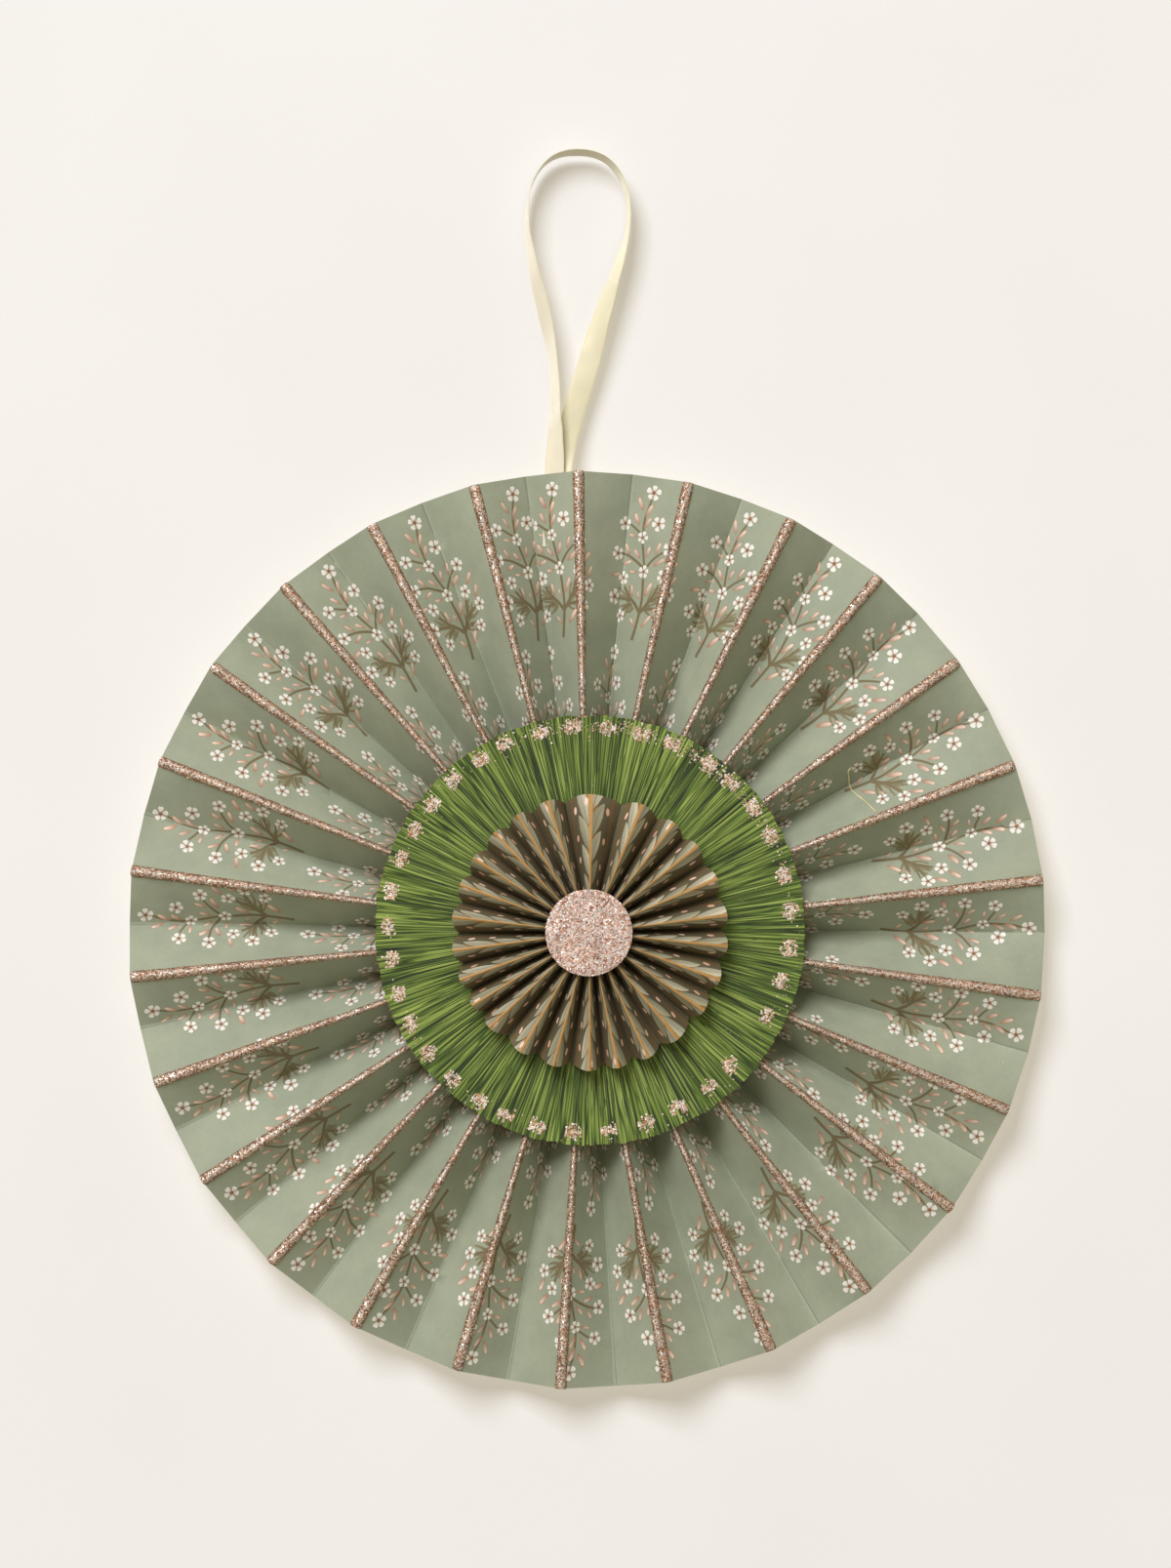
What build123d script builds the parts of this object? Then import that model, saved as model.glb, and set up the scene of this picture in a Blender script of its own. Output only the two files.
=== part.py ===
from build123d import *
from math import sin, cos, radians, degrees, atan2, sqrt, hypot
import os

# Paper fan medallion, hung from a ribbon loop.
# Frame: +Z up, the decorated front faces -Y, +X is to the viewer's right.
# The origin is the top of the ribbon loop, on its inner face, where a nail carries it.
# All lengths are millimetres.

# ---------------------------------------------------------------- driving sizes
FAN_C = Vector(2.6, -4.5, -215.8)    # centre of the big fan
FAN_R = 127.0                        # outer radius of the big fan (10 in across)
FAN_HUB_R = 8.0                      # inner ends of its pleats
PANEL_W = 16.7                       # width of one panel between two folds
PAPER_T = 0.3                        # printed card of the big fan
FAN_MIN_DEPTH = 2.4                  # flattest pleats at the rim
LAP_GAP = 0.03                       # glue film between lapped sheets

ROS_C = Vector(3.4, 0.0, -216.1)     # centre of the small rosette (x, z used)
ROS_R_RIDGE = 38.0                   # scalloped rim: radius at a front fold
ROS_R_VALLEY = 35.9                  # and at a back fold
ROS_HUB_R = 5.0
ROS_W = 9.6                          # panel width of the rosette
ROS_T = 0.25

CREPE_C = Vector(3.5, 0.0, -215.7)   # centre of the crepe disc (x, z used)
CREPE_R = 59.4
CREPE_T = 0.7
CREPE_HOLE_R = 4.0
CREPE_LAP_ANG = 126.0                # where the gathered strip's ends lap

DISC_C = Vector(3.1, 0.0, -216.1)    # centre of the glitter disc (x, z used)
DISC_R = 11.9
DISC_T = 1.0

CARD_R = 30.0                        # card over the back of the hub
CARD_T = 0.9

RIBBON_W = 6.0                       # 1/4 in satin
RIBBON_T = 0.3

BEAD_IN_R = 52.0                     # glitter lines start under the crepe disc
DAB_R = 2.1
DAB_H = 0.35

# Folds of the big fan, degrees clockwise from 12 o'clock seen from the front.
RIDGES = [12.8, 26.5, 39.6, 54.1, 68.9, 83.75, 98.3, 113.2, 127.4, 142.1, 156.25,
          169.9, 183.3, 196.5, 210.4, 223.6, 236.9, 250.5, 264.1, 277.4, 291.6,
          305.2, 318.6, 332.0, 345.75, 358.9]
VALLEYS = [19.8, 32.6, 46.3, 61.25, 76.1, 90.4, 105.6, 120.3, 135.0, 149.6,
           163.1, 176.4, 190.0, 203.3, 216.8, 230.2, 244.1, 257.6, 270.75, 284.7,
           298.4, 311.6, 325.6, 338.9, 352.3, 365.75]
SEAM_A = 352.3                       # back fold where the short strip starts
SEAM_B = 120.3                       # back fold just before the long strip starts

# Folds of the small rosette, same measure; its strip starts at the last back fold.
ROS_RIDGES = [0.0, 22.2, 37.5, 51.0, 67.2, 82.8, 95.7, 110.1, 124.2, 140.4, 154.8,
              168.0, 180.0, 195.3, 210.0, 226.8, 238.2, 249.9, 262.5, 276.6, 290.4,
              302.7, 316.2, 328.2, 342.0]
ROS_VALLEYS = [14.4, 31.2, 45.0, 59.4, 74.4, 88.8, 102.0, 116.4, 130.8, 147.9,
               161.1, 174.0, 188.4, 203.1, 218.4, 232.8, 243.9, 256.2, 269.4, 282.9,
               295.8, 308.7, 322.2, 334.8, 349.2]

# Glitter dabs on the crepe disc: angle, radius from its centre, size factor.
DABS = [(5.1, 56.0, 0.9), (14.8, 56.0, 1.05), (23.7, 56.1, 1.1), (35.4, 56.2, 1.15),
        (43.8, 56.3, 1.0), (53.4, 56.0, 1.15), (62.4, 55.9, 1.1), (74.1, 55.4, 1.15),
        (84.6, 55.4, 1.05), (95.1, 55.0, 1.1), (104.9, 54.5, 1.0), (115.9, 54.3, 0.9),
        (133.8, 53.6, 1.0), (142.8, 54.3, 0.85), (153.7, 54.6, 1.0),
        (163.8, 55.2, 1.0), (174.7, 55.4, 0.95), (184.7, 56.0, 1.1),
        (195.0, 56.0, 1.1), (204.5, 56.1, 1.0), (212.9, 56.0, 0.9),
        (222.7, 56.0, 1.0), (232.7, 55.9, 0.95), (242.4, 55.7, 1.05),
        (251.7, 55.5, 1.05), (261.7, 55.4, 1.0), (270.9, 55.5, 0.95),
        (281.0, 55.9, 1.1), (290.7, 55.7, 1.0), (299.8, 55.6, 1.0),
        (308.4, 55.7, 0.95), (317.7, 56.2, 1.1), (327.3, 56.0, 1.15),
        (335.4, 56.3, 0.95), (346.0, 55.9, 0.85), (354.9, 56.2, 1.0)]

os.makedirs("parts", exist_ok=True)
Y_AXIS = Vector(0, 1, 0)


# ---------------------------------------------------------------- pleat geometry
def radial(deg):
    """Unit vector in the wall plane, clockwise from 12 o'clock seen from the front."""
    a = radians(deg)
    return Vector(sin(a), 0, cos(a))


class Pleats:
    """A pleated ring: folds alternate front and back, and every fold lies in the
    plane through the ring's axis at its own angle. Between two folds a panel is
    the ruled sheet of constant width, so it stands steep at the hub and lies
    flatter towards the rim."""

    def __init__(self, ridges, valleys, centre, stations, width, thick,
                 min_depth, rest=None, rim=None):
        self.c, self.st, self.w, self.t = centre, stations, width, thick
        self.min_depth, self.rest, self.rim = min_depth, rest, rim
        folds = [(a, "ridge") for a in ridges] + [(a % 360, "valley") for a in valleys]
        self.folds = sorted(folds)
        self.n = len(self.folds)

    def fold(self, i):
        turns, k = divmod(i, self.n)
        ang, kind = self.folds[k]
        return ang + 360 * turns, kind

    def index(self, angle):
        return [a for a, _ in self.folds].index(angle)

    def chord(self, i, r):
        """Mean width, seen from the front, of the two panels that meet at fold i."""
        before, _ = self.fold(i - 1)
        after, _ = self.fold(i + 1)
        return 2 * r * sin(radians((after - before) / 4))

    def radius(self, i, k):
        _, kind = self.fold(i)
        if self.rim and k == len(self.st) - 1:
            return self.rim[0] if kind == "ridge" else self.rim[1]
        return self.st[k]

    def at(self, i, k):
        """Front and back y of the sheet on fold i at station k."""
        r = self.radius(i, k)
        c = self.chord(i, r)
        depth = sqrt(max(self.w ** 2 - c ** 2, self.min_depth ** 2))
        v = self.t * sqrt(c ** 2 + depth ** 2) / c
        v = min(v, 0.46 * depth) if depth > 3 * self.t else v
        _, kind = self.fold(i)
        if self.rest is None:                    # folds either side of a mid plane
            lo, hi = -depth / 2, depth / 2
        else:                                    # back folds rest on a plane at both ends
            back = self.rest - (0.0, 0.07, 0.10, 0.0)[k]
            lo, hi = back - depth, back
        return (lo, lo + v) if kind == "ridge" else (hi - v, hi)

    def point(self, i, f, k, off=0.0, bulge=0.0):
        """Point on the sheet between fold i and i+1 at fraction f: unit direction
        in the wall plane times radius, and the front and back y."""
        a0, _ = self.fold(i)
        a1, _ = self.fold(i + 1)
        r0, r1 = self.radius(i, k), self.radius(i + 1, k)
        p = radial(a0) * (r0 * (1 - f)) + radial(a1) * (r1 * f)
        f0, b0 = self.at(i, k)
        f1, b1 = self.at(i + 1, k)
        return p, f0 * (1 - f) + f1 * f + off - bulge, b0 * (1 - f) + b1 * f + off - bulge

    def thickness(self, i, k):
        f0, b0 = self.at(i, k)
        return b0 - f0

    def section(self, i, f=0.0, offs=None, first=0, last=None, bulge=0.0, grow=0.0):
        """Plane through the axis and the closed outline of the sheet in it."""
        last = len(self.st) - 1 if last is None else last
        front, back = [], []
        pts = [self.point(i, f, k, offs[k] if offs else 0.0,
                          bulge if 0 < k else 0.0) for k in range(first, last + 1)]
        x_dir = pts[-1][0].normalized()
        for j, (p, yf, yb) in enumerate(pts):
            r = p.length + (grow if first + j == len(self.st) - 1 else 0.0)
            front.append((r, yf))
            back.append((r, yb))
        plane = Plane(origin=(self.c.X, self.c.Y, self.c.Z), x_dir=x_dir,
                      z_dir=x_dir.cross(Y_AXIS))
        return plane, front + back[::-1]


FAN_ST = [FAN_HUB_R, 16.0, 27.0, 46.0, 72.0, 100.0, FAN_R]
fan = Pleats(RIDGES, VALLEYS, FAN_C, FAN_ST, PANEL_W, PAPER_T, FAN_MIN_DEPTH)
LAP_FROM = 2                         # the glue tabs start at this station


def lap_offsets(ring, i):
    """How far the upper sheet stands off in front of the tab, station by station."""
    return [0.0 if k < LAP_FROM else
            -(ring.thickness(i, k) + ring.thickness(i + 1, k)) / 2 - LAP_GAP
            for k in range(len(ring.st))]


ia = fan.index(SEAM_A)
ib = fan.index(SEAM_B)
off_a = lap_offsets(fan, ia)
off_b = lap_offsets(fan, ib)

# ---------------------------------------------------------------- short strip
# Starts on top of the long strip's tab at the back fold left of 12 o'clock, and
# ends as a tab under the long strip.
with BuildPart() as fan_strip_short:
    short_sections = [fan.section(ia, 0.03, off_a), fan.section(ia, 0.52, off_a)]
    short_sections += [fan.section(i) for i in range(ia + 1, ib + fan.n + 1)]
    short_sections += [fan.section(ib, 0.36)]
    for plane, outline in short_sections:
        with BuildSketch(plane):
            with BuildLine():
                Polyline(*outline, close=True)
            make_face()
    loft(ruled=True)
    for plane, outline in [fan.section(ib, 0.36, first=LAP_FROM),
                           fan.section(ib, 0.80, first=LAP_FROM)]:
        with BuildSketch(plane):
            with BuildLine():
                Polyline(*outline, close=True)
            make_face()
    loft(ruled=True)
fan_strip_short.part.label = "fan_strip_short"

# ---------------------------------------------------------------- long strip
with BuildPart() as fan_strip_long:
    long_sections = [fan.section(ib, 0.38, off_b), fan.section(ib, 0.84, off_b)]
    long_sections += [fan.section(i) for i in range(ib + 1, ia + 1)]
    for plane, outline in long_sections:
        with BuildSketch(plane):
            with BuildLine():
                Polyline(*outline, close=True)
            make_face()
    loft(ruled=True)
    for plane, outline in [fan.section(ia, 0.0, first=LAP_FROM),
                           fan.section(ia, 0.48, first=LAP_FROM)]:
        with BuildSketch(plane):
            with BuildLine():
                Polyline(*outline, close=True)
            make_face()
    loft(ruled=True)
fan_strip_long.part.label = "fan_strip_long"

# ---------------------------------------------------------------- glitter lines
# One bead of glitter glue along each front fold: a V underside that sits on the two
# panels, and a rounded top. It is wider and taller towards the rim.
BEAD_ST = [BEAD_IN_R, 72.0, 100.0, FAN_R]
BEAD_HALF_W = [0.55, 0.78, 1.2, 1.5]  # where its sides meet the panels
BEAD_H = [0.50, 0.6, 0.7, 0.8]
BEAD_GAP = 0.04                      # glue film between a bead and the sheet


def along(table, r):
    """Value at radius r of a table with one entry per station of the fan."""
    k = max(j for j in range(len(FAN_ST) - 1) if FAN_ST[j] <= r + 1e-9)
    g = (r - FAN_ST[k]) / (FAN_ST[k + 1] - FAN_ST[k])
    return table[k] * (1 - g) + table[k + 1] * g


def ridge_front(i, r):
    """Front point of the sheet on fold i at radius r, as the ruled sheet has it."""
    y = along([fan.at(i, k)[0] for k in range(len(FAN_ST))], r)
    return radial(fan.fold(i)[0]) * r + Vector(0, y, 0)


def bead_section(i, j):
    r = BEAD_ST[j]
    tip = ridge_front(i, r)
    left = ridge_front(i - 1, r) - tip
    right = ridge_front(i + 1, r) - tip
    if i == (ia + 1) % fan.n:        # the sheet left of this fold lies over the tab
        left = left * 0.48 + Vector(0, along(off_a, r), 0)
    if i == ib + 1:
        left = left * 0.16 + Vector(0, along(off_b, r), 0)
    lp = left * (BEAD_HALF_W[j] / hypot(left.X, left.Z))
    rp = right * (BEAD_HALF_W[j] / hypot(right.X, right.Z))
    axis = (rp - lp).normalized()
    up = axis.cross(lp.cross(rp).normalized())
    up = up * -1 if up.Y > 0 else up
    plane = Plane(origin=FAN_C + tip + up * BEAD_GAP, x_dir=axis, z_dir=axis.cross(up))
    start = plane.origin
    return plane, [plane.to_local_coords(start + v)
                   for v in (lp, Vector(0, 0, 0), rp, up * BEAD_H[j])]


ridge_ids = [i for i in range(fan.n) if fan.fold(i)[1] == "ridge"]
with BuildPart() as ridge_glitter:
    beads = []
    for i in ridge_ids:
        for j in range(len(BEAD_ST)):
            plane, (lp, tip, rp, crown) = bead_section(i, j)
            with BuildSketch(plane):
                with BuildLine():
                    Polyline(lp, tip, rp)
                    ThreePointArc(rp, crown, lp)
                make_face()
        beads.append(loft(ruled=True, mode=Mode.PRIVATE))
    add(beads)
ridge_glitter.part.label = "ridge_glitter"

# ---------------------------------------------------------------- crepe disc
# It rests on the folds and the glitter lines: its back is one plane just in front of them.
bead_front = min(ridge_front(i, BEAD_IN_R).Y - BEAD_H[0] - BEAD_GAP for i in ridge_ids)
fold_front = min(fan.at(i, 0)[0] for i in ridge_ids)
CREPE_BACK = min(bead_front, fold_front) - 0.05  # y in the fan's own frame
CREPE_FRONT = CREPE_BACK - CREPE_T


def wall_plane(y, centre):
    """Plane parallel to the wall at fan depth y, looking out at the viewer."""
    return Plane(origin=(centre.X, FAN_C.Y + y, centre.Z), x_dir=(1, 0, 0),
                 z_dir=(0, -1, 0))


with BuildPart() as crepe_disc:
    with BuildSketch(wall_plane(CREPE_BACK, CREPE_C)):
        Circle(CREPE_R)
        Circle(CREPE_HOLE_R, mode=Mode.SUBTRACT)
    extrude(amount=CREPE_T)
    # the strip's end lies over its start: a narrow raised flap along one radius
    lap = radial(CREPE_LAP_ANG)
    with BuildSketch(wall_plane(CREPE_FRONT, CREPE_C)):
        with Locations((lap.X * 36.0, lap.Z * 36.0)):
            Rectangle(45.0, 2.6, rotation=90 - CREPE_LAP_ANG)
    extrude(amount=0.25)
crepe_disc.part.label = "crepe_disc"

# ---------------------------------------------------------------- dabs on the crepe
with BuildPart() as crepe_glitter_dabs:
    with BuildSketch(wall_plane(CREPE_FRONT, CREPE_C)):
        for ang, r, size in DABS:
            d = radial(ang)
            with Locations((d.X * r, d.Z * r)):
                Circle(DAB_R * size)
    extrude(amount=DAB_H, taper=40)
crepe_glitter_dabs.part.label = "crepe_glitter_dabs"

# ---------------------------------------------------------------- small rosette
# Softly folded: each panel bulges a little forward between its folds, and the strip's
# outer edge is cut in round scallops, one to a pleat.
ROS_REST = CREPE_FRONT - 0.28                    # back folds rest on the crepe disc
ROS_ORIGIN = Vector(ROS_C.X, FAN_C.Y, ROS_C.Z)
ROS_ST = [ROS_HUB_R, 11.0, 20.0, ROS_R_VALLEY]
rosette = Pleats(ROS_RIDGES, ROS_VALLEYS, ROS_ORIGIN, ROS_ST, ROS_W, ROS_T, 3.0,
                 rest=ROS_REST, rim=(ROS_R_RIDGE, ROS_R_VALLEY))
ir = rosette.index(349.2) - rosette.n
ROS_LAP_FROM = 1
off_r = [0.0 if k < ROS_LAP_FROM else
         -(rosette.thickness(ir, k) + rosette.thickness(ir + 1, k)) / 2 - LAP_GAP
         for k in range(len(ROS_ST))]

with BuildPart() as small_rosette:
    ros_sections = [rosette.section(ir, 0.05, off_r), rosette.section(ir, 0.5, off_r, grow=0.5)]
    for i in range(ir + 1, ir + rosette.n + 1):
        ros_sections.append(rosette.section(i))
        if i < ir + rosette.n:
            ros_sections.append(rosette.section(i, 0.5, bulge=0.35, grow=0.75))
    for plane, outline in ros_sections:
        with BuildSketch(plane):
            with BuildLine():
                Polyline(*outline, close=True)
            make_face()
    loft(ruled=True)
    for plane, outline in [rosette.section(ir, 0.0, first=ROS_LAP_FROM, last=2),
                           rosette.section(ir, 0.4, first=ROS_LAP_FROM, last=2)]:
        with BuildSketch(plane):
            with BuildLine():
                Polyline(*outline, close=True)
            make_face()
    loft(ruled=True)
small_rosette.part.label = "small_rosette"

# ---------------------------------------------------------------- centre disc
ros_front = min(rosette.at(i, k)[0] for i in range(rosette.n) for k in range(2))
DISC_BACK = ros_front - 0.03
with BuildPart() as centre_glitter_disc:
    with BuildSketch(wall_plane(DISC_BACK, DISC_C)):
        Circle(DISC_R)
    extrude(amount=DISC_T)
    fillet(centre_glitter_disc.faces().sort_by(Axis.Y)[0].edges(), 0.25)
centre_glitter_disc.part.label = "centre_glitter_disc"

# ---------------------------------------------------------------- back card
fan_back = max(fan.at(i, k)[1] for i in range(fan.n) for k in range(len(FAN_ST)))
CARD_FRONT = fan_back + 0.03
CARD_REAR = CARD_FRONT + CARD_T
with BuildPart() as back_card_disc:
    with BuildSketch(wall_plane(CARD_REAR, FAN_C)):
        Circle(CARD_R)
    extrude(amount=CARD_T)
back_card_disc.part.label = "back_card_disc"

# ---------------------------------------------------------------- hub glue
with BuildPart() as fan_hub_glue:
    with BuildSketch(wall_plane(CARD_FRONT, FAN_C)):
        Circle(FAN_HUB_R - 0.08)
    extrude(amount=CARD_FRONT - CREPE_BACK)
fan_hub_glue.part.label = "fan_hub_glue"

with BuildPart() as rosette_hub_glue:
    with BuildSketch(wall_plane(CREPE_FRONT, ROS_C)):
        Circle(ROS_HUB_R - 0.08)
    extrude(amount=CREPE_FRONT - DISC_BACK)
rosette_hub_glue.part.label = "rosette_hub_glue"

# ---------------------------------------------------------------- hanging ribbon
# One length of satin ribbon, a plain band along the loop's route: straight runs joined
# by tangent arcs, each 0.45 of its shorter run over the tangent of half the turn. Both
# ends go down behind the rim into the groove at the back of a front fold.
RIBBON_PTS = [(-6.9, -109.5), (-6.75, -99.0), (-6.4, -88.5), (-6.0, -73.5),
              (-6.5, -58.0), (-9.1, -44.5), (-12.4, -31.5), (-14.4, -20.0),
              (-13.5, -9.8), (-9.7, -3.0), (-4.2, 0.15), (4.2, 0.15),
              (10.1, -3.2), (13.9, -10.5), (14.3, -20.5), (11.4, -31.5),
              (6.9, -44.5), (3.3, -58.0), (-0.8, -71.0), (-3.6, -81.0),
              (-4.9, -90.5), (-5.1, -100.0), (-5.5, -109.5)]


def tangent_radii(pts):
    radii = []
    for a, b, c in zip(pts, pts[1:], pts[2:]):
        u = (b[0] - a[0], b[1] - a[1])
        v = (c[0] - b[0], c[1] - b[1])
        turn = abs(atan2(u[0] * v[1] - u[1] * v[0], u[0] * v[0] + u[1] * v[1]))
        radii.append(0.45 * min(hypot(*u), hypot(*v)) * cos(turn / 2) / sin(turn / 2))
    return radii


ribbon_radii = tangent_radii(RIBBON_PTS)
with BuildPart() as hanging_ribbon:
    with BuildLine() as ribbon_path:
        FilletPolyline([(x, 0, z) for x, z in RIBBON_PTS], radius=ribbon_radii)
    with BuildSketch(Plane(origin=ribbon_path.line @ 0, x_dir=(0, 1, 0),
                           z_dir=ribbon_path.line % 0)):
        Rectangle(RIBBON_W, RIBBON_T)
    sweep(path=ribbon_path.line)
hanging_ribbon.part.label = "hanging_ribbon"


# ---------------------------------------------------------------- glue on the ribbon ends
def sheet_mid_y(i, x, z):
    """Mid depth of the sheet between folds i and i+1 at a point of the wall plane."""
    a, a0, a1 = degrees(atan2(x, z)) % 360, fan.fold(i)[0] % 360, fan.fold(i + 1)[0] % 360
    s0, s1 = sin(radians(a - a0)), sin(radians(a1 - a))
    f = s0 / (s0 + s1)
    r = hypot(x, z) / (radial(a0) * (1 - f) + radial(a1) * f).length
    k = max(j for j in range(len(FAN_ST) - 1) if FAN_ST[j] <= r)
    g = (r - FAN_ST[k]) / (FAN_ST[k + 1] - FAN_ST[k])
    mids = [sum(fan.point(i, f, j)[1:]) / 2 for j in (k, k + 1)]
    return mids[0] * (1 - g) + mids[1] * g


GLUE_Z = (104.5, 116.5)              # from the fan's centre
GLUE_X = (-13.2, -9.2, -6.0, -4.6)
GLUE_H = (0.8, 3.4, 3.0, 0.9)
with BuildPart() as ribbon_glue_pad:
    for zf in GLUE_Z:
        mid = [(x, sheet_mid_y(ia, x, zf)) for x in GLUE_X]
        outer = [(x, y + h) for (x, y), h in zip(mid, GLUE_H)]
        with BuildSketch(Plane(origin=(FAN_C.X, FAN_C.Y, FAN_C.Z + zf))):
            with BuildLine():
                Polyline(*(mid + outer[::-1]), close=True)
            make_face()
    loft(ruled=True)
    add(fan_strip_short.part, mode=Mode.SUBTRACT)
    add(fan_strip_long.part, mode=Mode.SUBTRACT)
    add(hanging_ribbon.part, mode=Mode.SUBTRACT)
ribbon_glue_pad.part.label = "ribbon_glue_pad"

# ---------------------------------------------------------------- write the pieces
for piece in (fan_strip_short, fan_strip_long, ridge_glitter, crepe_disc,
              crepe_glitter_dabs, small_rosette, centre_glitter_disc, hanging_ribbon,
              ribbon_glue_pad, back_card_disc, fan_hub_glue, rosette_hub_glue):
    export_step(piece.part, f"parts/{piece.part.label}.step")

print("ribbon radii", [round(r, 1) for r in ribbon_radii])
ribbon_len = sum(edge.length for edge in ribbon_path.edges())
print("ribbon length", round(ribbon_len, 1), "volume",
      round(hanging_ribbon.part.volume, 2), "section times length",
      round(RIBBON_W * RIBBON_T * ribbon_len, 2))
for piece in (fan_strip_short, fan_strip_long, ridge_glitter, crepe_disc,
              crepe_glitter_dabs, small_rosette, centre_glitter_disc,
              ribbon_glue_pad, back_card_disc, fan_hub_glue, rosette_hub_glue):
    print(piece.part.label, round(piece.part.volume, 1), "mm3")
print("crepe front", FAN_C.Y + CREPE_FRONT, "disc front", FAN_C.Y + DISC_BACK - DISC_T,
      "card rear", FAN_C.Y + CARD_REAR)
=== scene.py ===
import bpy
import math
import numpy as np
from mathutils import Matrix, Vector, geometry


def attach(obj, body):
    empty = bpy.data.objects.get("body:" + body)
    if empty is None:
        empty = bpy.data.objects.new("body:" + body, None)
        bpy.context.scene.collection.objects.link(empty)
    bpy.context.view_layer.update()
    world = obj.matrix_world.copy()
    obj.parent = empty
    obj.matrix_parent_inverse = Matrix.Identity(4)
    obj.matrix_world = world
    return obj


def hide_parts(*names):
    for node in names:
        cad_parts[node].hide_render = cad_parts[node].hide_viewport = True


# Paper fan medallion. Everything below is worked out in millimetres in the frame of the
# CAD model and scaled to metres when a mesh is made. Front faces -Y, +Z is up.

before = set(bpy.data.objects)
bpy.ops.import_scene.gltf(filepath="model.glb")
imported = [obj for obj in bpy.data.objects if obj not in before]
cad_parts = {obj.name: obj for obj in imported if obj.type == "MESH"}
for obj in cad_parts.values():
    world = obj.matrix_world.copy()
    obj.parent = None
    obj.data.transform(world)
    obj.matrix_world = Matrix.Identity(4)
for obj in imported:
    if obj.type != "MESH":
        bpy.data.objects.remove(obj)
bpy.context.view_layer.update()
MM = 0.001
PI = math.pi


# ------------------------------------------------------------------ camera, first
CAM_D = 1.5                                      # metres from the fan's middle plane
FRAME_H = 0.4345                                 # what the image is high, at that plane
cam_data = bpy.data.cameras.new("camera")
cam_data.sensor_width = 36.0
cam_data.lens = 36.0 * CAM_D / FRAME_H
cam_data.clip_start, cam_data.clip_end = 0.02, 50
camera = bpy.data.objects.new("camera", cam_data)
bpy.context.scene.collection.objects.link(camera)
camera.location = (0.0022, -0.0045 - CAM_D, -0.1754)
camera.rotation_euler = (PI / 2, 0, 0)
bpy.context.scene.camera = camera


# ------------------------------------------------------------------ helpers: noise
def hash2(ix, iy, seed):
    """Repeatable pseudo-random numbers in 0..1 for integer lattice points."""
    h = (ix.astype(np.int64) * 374761393 + iy.astype(np.int64) * 668265263
         + seed * 144665) & 0xFFFFFFFF
    h = ((h ^ (h >> 13)) * 1274126177) & 0xFFFFFFFF
    h = ((h ^ (h >> 16)) * 2246822519) & 0xFFFFFFFF
    return ((h ^ (h >> 15)) & 0xFFFFFF) / float(0xFFFFFF)


def value_noise(x, y, seed, period=None):
    """Smooth noise in -1..1; period makes it wrap in x."""
    x, y = np.broadcast_arrays(np.asarray(x, float), np.asarray(y, float))
    x0, y0 = np.floor(x), np.floor(y)
    fx, fy = x - x0, y - y0
    fx, fy = fx * fx * (3 - 2 * fx), fy * fy * (3 - 2 * fy)
    xa, xb = x0, x0 + 1
    if period:
        xa, xb = np.mod(xa, period), np.mod(xb, period)
    n00, n10 = hash2(xa, y0, seed), hash2(xb, y0, seed)
    n01, n11 = hash2(xa, y0 + 1, seed), hash2(xb, y0 + 1, seed)
    return ((n00 * (1 - fx) + n10 * fx) * (1 - fy)
            + (n01 * (1 - fx) + n11 * fx) * fy) * 2 - 1


def fbm(x, y, seed, octaves=3, gain=0.5):
    total, amp, norm = 0.0, 1.0, 0.0
    for k in range(octaves):
        total = total + amp * value_noise(x * 2 ** k, y * 2 ** k, seed + 17 * k)
        norm += amp
        amp *= gain
    return total / norm


def smooth(t):
    t = np.clip(t, 0, 1)
    return t * t * (3 - 2 * t)


# ------------------------------------------------------------------ helpers: meshes
def signed_volume(v, faces):
    total = 0.0
    sizes = {}
    for f in faces:
        sizes.setdefault(len(f), []).append(f)
    for n, group in sizes.items():
        g = np.array(group)
        for k in range(1, n - 1):
            total += np.einsum("ij,ij->i", v[g[:, 0]], np.cross(v[g[:, k]], v[g[:, k + 1]])).sum()
    return total / 6


def new_piece(name, verts_mm, faces, material, smooth_shade=True, sharp=48):
    """A mesh object from millimetre points and a list or array of closed faces. The
    faces are turned over if they look inwards."""
    verts = (np.asarray(verts_mm, float) * MM).astype(np.float32)
    faces = [np.asarray(f, np.int32) for f in faces] if isinstance(faces, list) else faces
    centred = np.asarray(verts_mm, float) - np.mean(verts_mm, axis=0)
    flip = signed_volume(centred, faces) < 0
    if isinstance(faces, np.ndarray):
        counts = np.full(len(faces), faces.shape[1], np.int32)
        flat = faces[:, ::-1] if flip else faces
        flat = flat.astype(np.int32).ravel()
    else:
        counts = np.array([len(f) for f in faces], np.int32)
        flat = np.concatenate([f[::-1] if flip else f for f in faces]).astype(np.int32)
    mesh = bpy.data.meshes.new(name)
    mesh.vertices.add(len(verts))
    mesh.vertices.foreach_set("co", verts.ravel())
    mesh.loops.add(len(flat))
    mesh.loops.foreach_set("vertex_index", flat)
    mesh.polygons.add(len(counts))
    starts = np.concatenate([[0], np.cumsum(counts)[:-1]]).astype(np.int32)
    mesh.polygons.foreach_set("loop_start", starts)
    mesh.polygons.foreach_set("use_smooth", np.full(len(counts), smooth_shade))
    mesh.update(calc_edges=True)
    if mesh.validate():
        print(name, "was changed by validate()")
    mesh.set_sharp_from_angle(angle=math.radians(sharp))
    mesh.materials.append(material)
    obj = bpy.data.objects.new(name, mesh)
    bpy.context.scene.collection.objects.link(obj)
    return obj


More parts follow.
